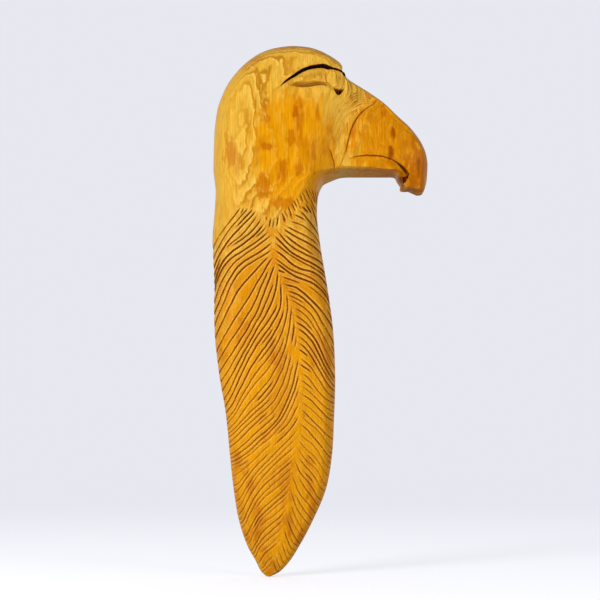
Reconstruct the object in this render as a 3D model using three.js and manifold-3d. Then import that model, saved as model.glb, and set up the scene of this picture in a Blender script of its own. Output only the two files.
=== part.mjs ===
// Carved eagle head with a long feathered neck, cut from one thick plank that is flat at the back.
// Millimetres. +Z is up, the carved face looks along -Y, and the beak points to +X.
// The origin is on the flat back, above the centre of weight, where the carving is fixed to the wall.
import * as THREE from 'three';
import { mergeVertices } from 'three/addons/utils/BufferGeometryUtils.js';
import Module from 'manifold-3d';

const wasm = await Module();
wasm.setup();

// Driving dimensions
const HANG_X = 11; // on the sections and lines below, the hanging point is this far to the right of x = 0
const BEAK_SETBACK = 24; // the beak's side lies this much nearer the wall than the cheek
const JAW = { bottom: -108, blend: 30 }; // below this height the neck's front has no such setback
const HOOK = { from: 160, blend: 30 }; // but the beak's hook, right of this, keeps it down to its point
const BROW_SLIT_FLOOR = 84; // how far from the wall the bottom of the slit under the brow is
const LORE_CHIP_FLOOR = 80; // and the bottom of the chip in front of the eye
const LOWER_BILL = [[117, 67], [157, 65], [196, 53], [207, 43], [218, 30]]; // the band under the mouth: x, depth
const GOUGE = {
  lid: { width: 13, depth: 5 },
  lore: { width: 9, depth: 5 },
  beakBase: { width: 5, depth: 2.5 },
  nick: { width: 5, depth: 2.5 },
  clearance: 6,
};
const STROKE = { pitch: 13, depth: 2.2, shoulder: 0.24 }; // feather strokes; shoulder is a share of the pitch
const NICKS = { depth: 1.6, below: -330, blend: 80 }; // where strokes nick the outline, on the lower neck
const TIP_FADE = 60; // strokes get shallower over this height above the neck's point
const COLLAR_STEP = 0.8; // the smooth head stands this much proud of the feathers
const COLLAR_BLEND = 7;
const COVERED = { inset: 1.2, sink: 5 }; // how far the feathered wood keeps inside the head above the collar
const SIDE_CLEAR = 140; // distances that clear all the wood: to the sides, and from the wall
const OUTSIDE = 130;

// The mesh: sections and columns of the smooth head, and rows and columns of the feathered neck
const GRID = { rowLength: 17, backRound: 4, middle: 9, frontRound: 3 };
const STROKE_ROWS = [-STROKE.shoulder, 0, STROKE.shoulder];
const ACROSS = [0, 0.2, 0.4, 0.58, 0.73, 0.85, 0.94, 1]; // shares of the way from the spine to an edge
const FIRST_HEAD_SECTION = 10; // the head's loft starts here, under the feathers
const LAST_NECK_SECTION = 15; // and the neck's ends here, under the head
const TOP_STROKE = 26; // the height of the topmost stroke at the spine, also under the head

// Sections from the neck's tip, up the neck, round the skull and down the beak, as a lofted blank.
// back and front are where the section meets the outline, x then z. depth is the wood's thickness at the ridge.
// wall is the straight side, round the width of the rounded edge and fall the slope from the ridge, at both ends.
const SECTIONS = [
  { back: [-23, -754], front: [-16, -755], depth: 17, wall: [10, 10], round: [3, 3], ridge: 0.5, fall: [0, 0] },
  { back: [-31, -747], front: [0, -747], depth: 23, wall: [11, 11], round: [8, 8], ridge: 0.53, fall: [2, 2] },
  { back: [-41, -728], front: [18, -728], depth: 30, wall: [12, 12], round: [12, 12], ridge: 0.57, fall: [3, 3] },
  { back: [-55, -703], front: [34, -703], depth: 37, wall: [14, 14], round: [14, 14], ridge: 0.59, fall: [5, 5] },
  { back: [-69, -662], front: [56, -662], depth: 45, wall: [16, 16], round: [18, 16], ridge: 0.6, fall: [7, 6] },
  { back: [-78, -613], front: [77, -613], depth: 52, wall: [18, 18], round: [20, 18], ridge: 0.62, fall: [9, 7] },
  { back: [-85, -555], front: [88, -555], depth: 59, wall: [20, 20], round: [22, 20], ridge: 0.64, fall: [10, 8] },
  { back: [-92, -488], front: [92, -488], depth: 66, wall: [22, 22], round: [26, 22], ridge: 0.67, fall: [11, 8] },
  { back: [-104, -421], front: [94, -421], depth: 72, wall: [24, 24], round: [30, 24], ridge: 0.69, fall: [12, 9] },
  { back: [-113, -344], front: [91, -344], depth: 78, wall: [26, 26], round: [36, 26], ridge: 0.68, fall: [12, 9] },
  { back: [-114, -267], front: [81, -266], depth: 83, wall: [28, 28], round: [42, 28], ridge: 0.61, fall: [11, 9] },
  { back: [-117, -197], front: [70, -199], depth: 87, wall: [30, 28], round: [48, 30], ridge: 0.56, fall: [9, 9] },
  { back: [-114, -139], front: [64, -148], depth: 91, wall: [32, 28], round: [54, 32], ridge: 0.52, fall: [6, 8] },
  { back: [-112, -104], front: [64, -121], depth: 95, wall: [34, 27], round: [58, 34], ridge: 0.5, fall: [4, 8] },
  { back: [-116, -69], front: [66, -103], depth: 98, wall: [35, 25], round: [60, 28], ridge: 0.5, fall: [2, 8] },
  { back: [-116, -33], front: [69, -93], depth: 100, wall: [36, 24], round: [62, 20], ridge: 0.5, fall: [2, 6] },
  { back: [-115, 4], front: [74, -84], depth: 101, wall: [36, 28], round: [62, 12], ridge: 0.5, fall: [2, 8] },
  { back: [-110, 44], front: [83, -78.5], depth: 101, wall: [37, 37], round: [60, 8], ridge: 0.45, fall: [2, 10] },
  { back: [-94, 84], front: [92.5, -74.5], depth: 101, wall: [38, 45], round: [56, 6], ridge: 0.4, fall: [2, 11] },
  { back: [-67, 118], front: [101.5, -71], depth: 101, wall: [40, 51], round: [50, 5], ridge: 0.4, fall: [2, 11] },
  { back: [-34, 141], front: [110, -69.5], depth: 101, wall: [42, 54], round: [44, 5], ridge: 0.4, fall: [2, 11] },
  { back: [8, 151], front: [119, -69], depth: 100, wall: [44, 55], round: [40, 5], ridge: 0.35, fall: [2, 9] },
  { back: [50, 148], front: [129, -69], depth: 99, wall: [46, 55], round: [36, 5], ridge: 0.35, fall: [2, 8] },
  { back: [83, 133], front: [140, -69], depth: 98, wall: [48, 55], round: [30, 5], ridge: 0.35, fall: [2, 7] },
  { back: [102, 120], front: [145, -69], depth: 98, wall: [47, 55], round: [26, 5], ridge: 0.37, fall: [3, 7] },
  { back: [106, 107], front: [150, -69], depth: 98, wall: [46, 55], round: [22, 5], ridge: 0.4, fall: [4, 7] },
  { back: [105, 100], front: [154, -69], depth: 98, wall: [43, 55], round: [20, 5], ridge: 0.42, fall: [5, 7] },
  { back: [113, 95], front: [157, -69], depth: 98, wall: [42, 55], round: [18, 5], ridge: 0.45, fall: [6, 8] },
  { back: [151, 74], front: [169, -69], depth: 98, wall: [36, 54], round: [14, 5], ridge: 0.5, fall: [8, 9] },
  { back: [180, 54], front: [179, -69], depth: 98, wall: [34, 53], round: [13, 5], ridge: 0.5, fall: [9, 9] },
  { back: [205, 30], front: [188, -69], depth: 97, wall: [32, 52], round: [13, 5], ridge: 0.5, fall: [9, 8] },
  { back: [227, 10], front: [195, -69], depth: 95, wall: [30, 48], round: [14, 6], ridge: 0.5, fall: [8, 6] },
  { back: [240, -6], front: [201, -71], depth: 92, wall: [28, 42], round: [15, 8], ridge: 0.5, fall: [7, 5] },
  { back: [251, -24], front: [204, -77], depth: 88, wall: [25, 36], round: [15, 10], ridge: 0.5, fall: [6, 4] },
  { back: [256, -43], front: [207, -82], depth: 83, wall: [23, 28], round: [15, 12], ridge: 0.5, fall: [5, 4] },
  { back: [256, -65], front: [210, -87], depth: 77, wall: [20, 23], round: [14, 12], ridge: 0.5, fall: [4, 3] },
  { back: [254, -85], front: [209, -92], depth: 70, wall: [17, 19], round: [12, 11], ridge: 0.5, fall: [3, 3] },
  { back: [248, -100], front: [213, -95], depth: 64, wall: [14, 15], round: [10, 10], ridge: 0.5, fall: [2, 2] },
  { back: [239, -102], front: [224, -95], depth: 61, wall: [13, 13], round: [7, 7], ridge: 0.5, fall: [1, 1] },
];

const TIP_Z = SECTIONS[0].back[1];

// Lines on the carved face, as x then z
const CHEEK_RIDGE = [[69, 62], [57, 5], [44, -53], [32, -108]];
const BEAK_BASE = [[164, 47], [145, 35], [128, 13], [116, -15], [110, -40], [104, -66]];
const MOUTH = [[117, -57], [124, -52], [133, -48.8], [145, -47.3], [162, -47.4], [179, -50], [196, -57], [209, -65],
  [218, -72]];
const HOOK_INSIDE = [[221, -77], [219, -85], [209, -94], [205, -103]]; // the hook's inner corner, on from the mouth
const CHEEK_NICK = [[91, -57], [94, -64], [91, -71]];
const COLLAR_BACK = [[-120, -205], [-97, -177], [-70, -144], [-45, -147], [-11, -166]];
const COLLAR_FRONT = [[-11, -166], [5, -152], [26, -131], [44, -112], [70, -104]];
const SPINE = [[-10, -160], [-11, -200], [-9, -235], [5, -274], [22, -316], [30, -374], [34, -440], [33, -495],
  [26, -560], [16, -622], [1, -695], [-20, -756]];
const BROW_SLIT = {
  upper: [[-3, 61], [12, 76], [27, 88], [42, 97], [59, 103], [72, 104], [87, 101], [97, 99], [112, 95]],
  lower: [[114, 89], [97, 96], [86, 97], [76, 96], [59, 96], [42, 91], [27, 82], [12, 71]],
};
const LOWER_LID = [[6, 70], [20, 67], [36, 64], [52, 63], [69, 66], [80, 66]];
const LORE_GROOVE = [[75, 92], [75, 80], [80, 68], [88, 61], [97, 58], [106, 61], [111, 69]];
const LORE_CHIP = [[93, 65], [99, 55], [108, 67], [101, 63]];

// How far a feather stroke falls for each millimetre that it runs sideways, from the spine to the edge, by the
// height that it starts at
const STROKE_FALL_BACK = [
  { start: -170, fall: [4.0, 1.5, 1.2, 2.3, 1.8, 1.2] },
  { start: -220, fall: [3.6, 1.9, 1.3, 1.7, 1.6, 0.6] },
  { start: -300, fall: [3.4, 1.8, 1.1, 1.2, 1.2, 0.5] },
  { start: -400, fall: [3.0, 1.7, 1.0, 1.0, 1.1, 0.4] },
  { start: -500, fall: [1.9, 1.2, 1.0, 1.2, 1.5, 0.5] },
  { start: -720, fall: [1.5, 1.3, 1.3, 1.3, 1.4, 0.8] },
];
const STROKE_FALL_FRONT = [
  { start: -170, fall: [1.6, 1.0, 0.8, 0.8, 0.9, 0.8] },
  { start: -240, fall: [1.0, 0.8, 0.7, 0.8, 1.2, 1.4] },
  { start: -309, fall: [1.0, 1.1, 1.9, 3.2, 1.6, 0.8] },
  { start: -370, fall: [1.0, 1.4, 2.0, 2.0, 1.0, 0.4] },
  { start: -440, fall: [0.8, 1.2, 1.5, 1.2, 0.6, 0.2] },
  { start: -566, fall: [1.0, 1.3, 1.8, 2.1, 1.4, 0.6] },
  { start: -720, fall: [1.4, 1.4, 1.3, 1.2, 1.0, 0.8] },
];

const lerp = THREE.MathUtils.lerp;
const clamp01 = (v) => THREE.MathUtils.clamp(v, 0, 1);
const smooth = (v) => THREE.MathUtils.smoothstep(v, 0, 1);

// The value at p on a broken line of [key, value] pairs whose keys rise or fall
function along(pairs, p) {
  const rising = pairs[pairs.length - 1][0] > pairs[0][0];
  let i = pairs.findIndex(([key]) => (rising ? key >= p : key <= p));
  if (i === 0) return pairs[0][1];
  if (i < 0) return pairs[pairs.length - 1][1];
  const [k0, v0] = pairs[i - 1];
  const [k1, v1] = pairs[i];
  return lerp(v0, v1, (p - k0) / (k1 - k0));
}
const xAt = (line, z) => along(line.map(([x, h]) => [h, x]), z);

// A smooth line through the points given, as evenly spaced THREE.Vector2
function smoothLine(points, steps) {
  return new THREE.SplineCurve(points.map(([x, z]) => new THREE.Vector2(x, z))).getSpacedPoints(steps);
}

// Splines through the sections: whole numbers of u are the sections listed
const track = (pick) => {
  return new THREE.CatmullRomCurve3(SECTIONS.map((s) => new THREE.Vector3(...pick(s))), false, 'centripetal');
};
const TRACKS = [
  track((s) => [s.back[0], s.wall[0], s.back[1]]),
  track((s) => [s.front[0], s.wall[1], s.front[1]]),
  track((s) => [s.round[0], s.depth, s.round[1]]),
  track((s) => [s.fall[0], s.ridge * 100, s.fall[1]]),
];

function sectionAt(u) {
  const [back, front, form, slope] = TRACKS.map((curve) => curve.getPoint(u / (SECTIONS.length - 1)));
  return {
    back: new THREE.Vector2(back.x, back.z),
    front: new THREE.Vector2(front.x, front.z),
    depth: form.y,
    wall: [back.y, front.y],
    round: [form.x, form.z],
    ridge: slope.y / 100,
    fall: [slope.x, slope.z],
  };
}

// 0 on the cheek, 1 on the beak, and a slope between them
function beakward(x, z) {
  const ridge = xAt(CHEEK_RIDGE, z);
  const base = xAt(BEAK_BASE, z);
  const reach = Math.max(smooth((z - JAW.bottom) / JAW.blend), smooth((x - HOOK.from) / HOOK.blend));
  return reach * smooth((x - ridge) / (base - ridge));
}

const COLLAR = [...COLLAR_BACK, ...COLLAR_FRONT.slice(1)];

// 0 on the smooth head, 1 on the feathers
function feathered(x, z) {
  return smooth((along(COLLAR, x) - z) / COLLAR_BLEND + 0.5);
}

// 0 at the neck's point, 1 above it
const aboveTip = (z) => clamp01((z - TIP_Z) / TIP_FADE);

const FALL_POWER = 1.6; // how late the slope from the ridge sets in

// The wood's depth at a distance from the back edge of a section of the given width
function depthAcross(section, fromBack, width, x, z) {
  const { ridge, fall, wall, round } = section;
  const share = fromBack / width;
  const side = share < ridge ? 0 : 1;
  const off = side ? (share - ridge) / (1 - ridge) : (ridge - share) / ridge;
  const crown = section.depth - fall[side] * off ** FALL_POWER - BEAK_SETBACK * beakward(x, z);
  const edge = lerp(wall[0], wall[1], share);
  const roundness = (distance, reach) => Math.sqrt(1 - (1 - Math.min(1, distance / reach)) ** 2);
  return edge + (crown - edge) * roundness(fromBack, round[0]) * roundness(width - fromBack, round[1]);
}

// The points of one section from its back edge to its front edge, closer together on the rounded edges
function sectionPoints(section) {
  const width = section.back.distanceTo(section.front);
  const squeeze = Math.min(1, (0.9 * width) / (section.round[0] + section.round[1]));
  const round = section.round.map((r) => r * squeeze);
  const { backRound, middle, frontRound } = GRID;
  const distances = [];
  const rounding = (share) => 1 - Math.cos((share * Math.PI) / 2);
  for (let i = 0; i <= backRound; i++) distances.push(round[0] * rounding(i / backRound));
  for (let i = 1; i < middle; i++) distances.push(lerp(round[0], width - round[1], i / middle));
  for (let i = frontRound; i >= 0; i--) distances.push(width - round[1] * rounding(i / frontRound));
  return distances.map((d) => {
    const at = section.back.clone().lerp(section.front, d / width);
    return new THREE.Vector3(at.x, -depthAcross({ ...section, round }, d, width, at.x, at.y), at.y);
  });
}

// A closed shell through loops of points of equal count, with the first and last loops filled in
function shell(loops) {
  const around = loops[0].length;
  const index = [];
  for (let r = 0; r + 1 < loops.length; r++) {
    for (let c = 0; c < around; c++) {
      const d = (c + 1) % around;
      const [p, q, s, t] = [r * around + c, r * around + d, (r + 1) * around + d, (r + 1) * around + c];
      index.push(p, q, s, p, s, t);
    }
  }
  const last = (loops.length - 1) * around;
  for (let c = 1; c + 1 < around; c++) index.push(0, c + 1, c, last, last + c, last + c + 1);
  const geometry = new THREE.BufferGeometry().setFromPoints(loops.flat());
  geometry.setIndex(index);
  return geometry;
}

// The smooth blank of the head, from a section in the neck to the hook's point
function headBlank() {
  const rows = [];
  for (let i = FIRST_HEAD_SECTION; i < SECTIONS.length - 1; i++) {
    const [a, b] = [sectionAt(i), sectionAt(i + 1)];
    const length = Math.max(a.back.distanceTo(b.back), a.front.distanceTo(b.front));
    const steps = Math.max(1, Math.round(length / GRID.rowLength));
    for (let k = 0; k < steps; k++) rows.push(sectionPoints(sectionAt(i + k / steps)));
  }
  rows.push(sectionPoints(sectionAt(SECTIONS.length - 1)));
  const loops = rows.map((row) => {
    const [first, last] = [row[0], row[row.length - 1]];
    return [new THREE.Vector3(first.x, 0, first.z), ...row, new THREE.Vector3(last.x, 0, last.z)];
  });
  return shell(loops);
}

// The neck's outline, as [z, x] pairs of its back and front edges
const EDGES = ['back', 'front'].map((edge) => {
  const pairs = [];
  for (let u = 0; u <= LAST_NECK_SECTION; u += 0.25) pairs.push([sectionAt(u)[edge].y, sectionAt(u)[edge].x]);
  return pairs;
});

// The section that passes through a point of the neck's plan
function sectionThrough(x, z) {
  let [low, high] = [0, LAST_NECK_SECTION];
  for (let i = 0; i < 20; i++) {
    const middle = sectionAt((low + high) / 2);
    const at = lerp(middle.back.y, middle.front.y, (x - middle.back.x) / (middle.front.x - middle.back.x));
    if (z > at) low = (low + high) / 2;
    else high = (low + high) / 2;
  }
  return sectionAt((low + high) / 2);
}

// How far a feather stroke that starts on the spine at z = start has fallen at a share of its way to the edge
function strokeDrop(side, start, share) {
  const table = side ? STROKE_FALL_FRONT : STROKE_FALL_BACK;
  const last = table[0].fall.length - 1;
  const rowFall = ({ fall }, t) => along(fall.map((f, i) => [i / last, f]), t);
  const fallAt = (t) => along(table.map((row) => [row.start, rowFall(row, t)]), start);
  const steps = 12;
  let drop = 0;
  for (let i = 0; i < steps * share - 1e-9; i++) {
    const z = start - drop;
    const part = Math.min(1, steps * share - i);
    drop += (part / steps) * fallAt((i + 0.5) / steps) * Math.abs(along(EDGES[side], z) - xAt(SPINE, z));
  }
  const room = Math.max(1e-6, start - TIP_Z);
  return drop / (1 + (drop / room) ** 3) ** (1 / 3); // the last strokes close up towards the tip
}

// A point of the feathered neck. cut is 1 at the bottom of a stroke and 0 between strokes.
function featherPoint(side, start, share, cut) {
  const z = start - strokeDrop(side, start, share);
  const edge = along(EDGES[side], z);
  const spine = xAt(SPINE, z);
  const nick = NICKS.depth * cut * smooth((NICKS.below - z) / NICKS.blend) * aboveTip(z);
  const inset = share * (nick + COVERED.inset * (1 - feathered(edge, z)));
  const x = lerp(spine, edge, share) + (side ? -inset : inset);
  const section = sectionThrough(x, z);
  const width = section.back.distanceTo(section.front);
  const fromBack = share === 1 ? side * width : Math.hypot(x - section.back.x, z - section.back.y);
  const groove = STROKE.depth * cut * aboveTip(z) * lerp(0.4, 1, smooth(share / ACROSS[1]));
  const sunk = COLLAR_STEP + COVERED.sink * (1 - feathered(x, z));
  const depth = depthAcross(section, Math.min(fromBack, width), width, x, z) - sunk - groove;
  return new THREE.Vector3(x, -depth, z);
}

// The neck below the collar, with a row of points at the bottom and at each shoulder of every feather stroke
function featheredNeck() {
  const starts = [];
  for (let z = TOP_STROKE; z > TIP_Z + STROKE.pitch; z -= STROKE.pitch) {
    STROKE_ROWS.forEach((shift) => starts.push([z + shift * STROKE.pitch, shift === 0 ? 1 : 0]));
  }
  starts.sort((a, b) => b[0] - a[0]);
  starts.push([TIP_Z, 0]);
  const loops = starts.reverse().map(([start, cut]) => {
    const back = ACROSS.map((share) => featherPoint(0, start, share, cut));
    const front = ACROSS.map((share) => featherPoint(1, start, share, cut));
    const row = [...back.reverse(), ...front.slice(1)];
    const [first, last] = [row[0], row[row.length - 1]];
    const behind = front[0];
    return [new THREE.Vector3(behind.x, 0, behind.z), new THREE.Vector3(first.x, 0, first.z), ...row,
      new THREE.Vector3(last.x, 0, last.z)];
  });
  return shell(loops);
}

// A closed three.js geometry as a solid, and back
function toSolid(geometry) {
  geometry.deleteAttribute('normal');
  geometry.deleteAttribute('uv');
  const merged = mergeVertices(geometry, 1e-3);
  return new wasm.Manifold(new wasm.Mesh({
    numProp: 3,
    vertProperties: Float32Array.from(merged.attributes.position.array),
    triVerts: Uint32Array.from(merged.index.array),
  }));
}
function toGeometry(solid) {
  const mesh = solid.getMesh();
  const geometry = new THREE.BufferGeometry();
  geometry.setAttribute('position', new THREE.BufferAttribute(mesh.vertProperties, 3));
  geometry.setIndex(new THREE.BufferAttribute(mesh.triVerts, 1));
  geometry.computeVertexNormals();
  return geometry;
}

// Finds the carved face in front of a point of the plan
const blank = headBlank();
const blankMesh = new THREE.Mesh(blank, new THREE.MeshBasicMaterial({ side: THREE.DoubleSide }));
const probe = new THREE.Raycaster();
function faceAt(x, z) {
  probe.set(new THREE.Vector3(x, -OUTSIDE, z), new THREE.Vector3(0, 1, 0));
  const [hit] = probe.intersectObject(blankMesh);
  return hit && { point: hit.point, normal: hit.face.normal };
}

// A V-shaped gouge cut that follows the face along a line. bite is the share of the full depth along the cut.
function gougeCut(line, steps, { width, depth }, bite = () => 1) {
  const stations = smoothLine(line, steps).map((p) => faceAt(p.x, p.y)).filter(Boolean);
  const { clearance } = GOUGE;
  const points = [];
  stations.forEach(({ point, normal }, i) => {
    const ahead = stations[Math.min(i + 1, stations.length - 1)].point;
    const behind = stations[Math.max(i - 1, 0)].point;
    const across = normal.clone().cross(ahead.clone().sub(behind)).normalize();
    const d = depth * bite(i / (stations.length - 1));
    const reach = (width / 2) * (d + clearance) / depth;
    const top = point.clone().addScaledVector(normal, clearance);
    points.push(point.clone().addScaledVector(normal, -d), top.clone().addScaledVector(across, reach),
      top.clone().addScaledVector(across, -reach));
  });
  const index = [0, 2, 1];
  for (let i = 0; i + 1 < stations.length; i++) {
    for (let c = 0; c < 3; c++) {
      const d = (c + 1) % 3;
      index.push(3 * i + c, 3 * i + d, 3 * i + 3 + d, 3 * i + c, 3 * i + 3 + d, 3 * i + 3 + c);
    }
  }
  const end = 3 * (stations.length - 1);
  index.push(end, end + 1, end + 2);
  const geometry = new THREE.BufferGeometry().setFromPoints(points);
  geometry.setIndex(index);
  return toSolid(geometry);
}

// A straight-sided cut of a plan outline, from outside the face down to floor(x) from the wall
function planCut(outline, floor) {
  const geometry = new THREE.ExtrudeGeometry(new THREE.Shape(outline), { depth: 1, bevelEnabled: false });
  const position = geometry.attributes.position;
  for (let i = 0; i < position.count; i++) {
    const [x, z, bottom] = [position.getX(i), position.getY(i), position.getZ(i) < 0.5];
    position.setXYZ(i, x, bottom ? -floor(x) : -OUTSIDE, z);
  }
  return toSolid(geometry);
}

const planPoints = (line) => line.map(([x, z]) => new THREE.Vector2(x, z));

// The band under the mouth line, set back behind the upper beak and more so towards its tip
function lowerBillCut() {
  const [lastX, bottom] = HOOK_INSIDE[HOOK_INSIDE.length - 1];
  const below = LOWER_BILL.filter(([x]) => x < lastX).map(([x]) => [x, bottom]);
  const outline = [...smoothLine(MOUTH, 12), ...planPoints([...HOOK_INSIDE, ...below.reverse()])];
  return planCut(outline, (x) => along(LOWER_BILL, x));
}

function carve() {
  const low = SECTIONS[FIRST_HEAD_SECTION].back[1] - 1;
  const belowCollar = planCut(planPoints([...COLLAR, [SIDE_CLEAR, low], [-SIDE_CLEAR, low]]), () => -1);
  const head = toSolid(blank.clone()).subtract(belowCollar);
  const slit = [...smoothLine(BROW_SLIT.upper, 9), ...smoothLine(BROW_SLIT.lower, 9)];
  const swell = (t) => 0.15 + 0.85 * Math.sin(Math.PI * t) ** 0.6;
  const deepen = (t) => 0.3 + 0.7 * smooth(t * 1.3);
  const cuts = [
    planCut(slit, () => BROW_SLIT_FLOOR),
    planCut(planPoints(LORE_CHIP), () => LORE_CHIP_FLOOR),
    lowerBillCut(),
    gougeCut(LOWER_LID, 7, GOUGE.lid, swell),
    gougeCut(LORE_GROOVE, 9, GOUGE.lore, deepen),
    gougeCut(BEAK_BASE, 10, GOUGE.beakBase),
    gougeCut(CHEEK_NICK, 3, GOUGE.nick),
  ];
  return head.add(toSolid(featheredNeck())).subtract(wasm.Manifold.union(cuts));
}

const wood = new THREE.MeshStandardMaterial({ color: 0xd09030, roughness: 0.45, metalness: 0 });
const carving = new THREE.Mesh(toGeometry(carve()), wood);
carving.name = 'eagle_head_carving';
carving.position.x = -HANG_X;

const group = new THREE.Group();
group.add(carving);
export default group;
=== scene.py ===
"""A carved eagle head on a long feathered neck: one varnished plank, flat at the back, in a pale studio."""
import math

import bpy
import numpy as np
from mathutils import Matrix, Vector


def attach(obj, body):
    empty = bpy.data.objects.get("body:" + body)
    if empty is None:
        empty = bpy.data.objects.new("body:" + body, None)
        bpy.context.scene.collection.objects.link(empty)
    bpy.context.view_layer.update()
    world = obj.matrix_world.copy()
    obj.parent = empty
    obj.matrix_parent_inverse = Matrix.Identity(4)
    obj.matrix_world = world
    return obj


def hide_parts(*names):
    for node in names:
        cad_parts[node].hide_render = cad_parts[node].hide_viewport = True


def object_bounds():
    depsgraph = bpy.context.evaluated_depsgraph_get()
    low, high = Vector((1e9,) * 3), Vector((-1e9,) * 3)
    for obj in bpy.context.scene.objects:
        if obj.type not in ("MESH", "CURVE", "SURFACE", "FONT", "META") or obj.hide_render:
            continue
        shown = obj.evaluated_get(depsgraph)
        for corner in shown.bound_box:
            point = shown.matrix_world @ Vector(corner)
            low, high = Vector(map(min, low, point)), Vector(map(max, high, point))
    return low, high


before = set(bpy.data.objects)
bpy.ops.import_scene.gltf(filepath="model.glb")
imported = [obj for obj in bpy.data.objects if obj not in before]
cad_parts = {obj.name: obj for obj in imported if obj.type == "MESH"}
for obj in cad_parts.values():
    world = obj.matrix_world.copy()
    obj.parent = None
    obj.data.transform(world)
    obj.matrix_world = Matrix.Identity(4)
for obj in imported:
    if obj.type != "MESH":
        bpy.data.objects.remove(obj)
cad_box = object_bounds()

# The blank. The real one is a single thick plank with the grain up the neck, sawn to the eagle's outline. Its
# back stays flat, and the face was rounded over by hand. Sizes are millimetres on the plank: x runs to the
# beak, z up, and depth is measured from the flat back.
MM = 0.001
HANG_X = 11  # the hanging point is at x = 0 of the frame, and this far to the right on the plank
BEAK_SETBACK = 24  # how much nearer the wall the beak lies than the cheek
JAW = {"bottom": -108, "blend": 30, "hook_from": 160, "hook_blend": 30}  # where that begins
FALL_POWER = 1.6  # how the face curves away from its ridge
ROUND_ROOM = 0.9  # the two rounded edges take this share of a section's width at most
ROW_LENGTH = 0.85  # the rows of the mesh are this far apart on the outline
COLUMNS = {"wall": 11, "face": 270, "trial": 500}
# The mesh is finer round the eye: between which sections, the middle and reach there, and how much finer
FINE = {"sections": (21, 27), "centre": (58, 80), "reach": (62, 40), "extra": 0.6}
BEVEL = {"from_section": 26, "to_section": 29, "neck": 2.0, "beak": 1.45}  # 2 is a round edge, 1 a flat bevel

# Sections from the neck's tip, up the neck, round the skull and down the beak:
# back x, z, front x, z, depth, wall back, front, round back, front, ridge, fall back, front
SECTIONS = np.array([
    (-23, -754, -16, -755, 17, 10, 10, 3, 3, 0.5, 0, 0),
    (-31, -747, 0, -747, 23, 11, 11, 8, 8, 0.53, 2, 2),
    (-41, -728, 18, -728, 30, 12, 12, 12, 12, 0.57, 3, 3),
    (-55, -703, 34, -703, 37, 14, 14, 14, 14, 0.59, 5, 5),
    (-69, -662, 56, -662, 45, 16, 16, 18, 16, 0.6, 7, 6),
    (-78, -613, 77, -613, 52, 18, 18, 20, 18, 0.62, 9, 7),
    (-85, -555, 88, -555, 59, 20, 20, 22, 20, 0.64, 10, 8),
    (-92, -488, 92, -488, 66, 22, 22, 26, 22, 0.67, 11, 8),
    (-104, -421, 94, -421, 72, 24, 24, 30, 24, 0.69, 12, 9),
    (-113, -344, 91, -344, 78, 26, 26, 36, 26, 0.68, 12, 9),
    (-114, -267, 81, -266, 83, 28, 28, 42, 28, 0.61, 11, 9),
    (-117, -197, 70, -199, 87, 30, 28, 48, 30, 0.56, 9, 9),
    (-114, -139, 64, -148, 91, 32, 28, 54, 32, 0.52, 6, 8),
    (-112, -104, 64, -121, 95, 34, 27, 58, 34, 0.5, 4, 8),
    (-116, -69, 66, -103, 98, 35, 25, 60, 28, 0.5, 2, 8),
    (-116, -33, 69, -93, 100, 36, 24, 62, 20, 0.5, 2, 6),
    (-115, 4, 74, -84, 101, 36, 28, 62, 12, 0.5, 2, 8),
    (-110, 44, 83, -78.5, 101, 37, 37, 60, 8, 0.45, 2, 10),
    (-94, 84, 92.5, -74.5, 101, 38, 45, 56, 6, 0.4, 2, 11),
    (-67, 118, 101.5, -71, 101, 40, 51, 50, 5, 0.4, 2, 11),
    (-34, 141, 110, -69.5, 101, 42, 54, 44, 5, 0.4, 2, 11),
    (8, 151, 119, -69, 100, 44, 55, 40, 5, 0.35, 2, 9),
    (50, 148, 129, -69, 99, 46, 55, 36, 5, 0.35, 2, 8),
    (83, 133, 140, -69, 98, 48, 55, 30, 5, 0.35, 2, 7),
    (102, 120, 145, -69, 98, 47, 55, 26, 5, 0.37, 3, 7),
    (107, 107, 150, -69, 98, 46, 55, 22, 5, 0.4, 4, 7),
    (109, 100, 154, -69, 98, 43, 55, 20, 5, 0.42, 5, 7),
    (113, 95, 157, -69, 98, 42, 55, 18, 5, 0.45, 6, 8),
    (151, 74, 169, -69, 98, 36, 54, 14, 5, 0.5, 8, 9),
    (180, 54, 179, -69, 98, 34, 53, 13, 5, 0.5, 9, 9),
    (205, 30, 188, -69, 97, 32, 52, 13, 5, 0.5, 9, 8),
    (227, 10, 195, -69, 95, 30, 48, 14, 6, 0.5, 8, 6),
    (240, -6, 201, -71, 92, 28, 42, 15, 8, 0.5, 7, 5),
    (251, -24, 204, -77, 88, 25, 36, 15, 10, 0.5, 6, 4),
    (256, -43, 207, -82, 83, 23, 28, 15, 12, 0.5, 5, 4),
    (256, -65, 210, -87, 77, 20, 23, 14, 12, 0.5, 4, 3),
    (254, -85, 209, -92, 70, 17, 19, 12, 11, 0.5, 3, 3),
    (248, -100, 213, -95, 64, 14, 15, 10, 10, 0.5, 2, 2),
    (239, -102, 224, -95, 61, 13, 13, 7, 7, 0.5, 1, 1),
])
TRACKS = [(0, 5, 1), (2, 6, 3), (7, 4, 8), (10, 9, 11)]  # the columns that one spline carries together
SPLINE_WEIGHT = {9: 100}  # the ridge is a share, so it is carried as a per cent
# The face drops from the cheek to the beak between these two lines
CHEEK_RIDGE = [(69, 62), (57, 5), (44, -53), (32, -108)]
BEAK_BASE = [(164, 47), (145, 35), (128, 13), (116, -15), (110, -40), (104, -66)]
# Where the brow's slit runs out over the edge
NOTCH = {"centre": (110, 99), "reach": 9, "push": (-3.4, -1.6)}


def smooth(v):
    v = np.clip(v, 0, 1)
    return v * v * (3 - 2 * v)


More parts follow.
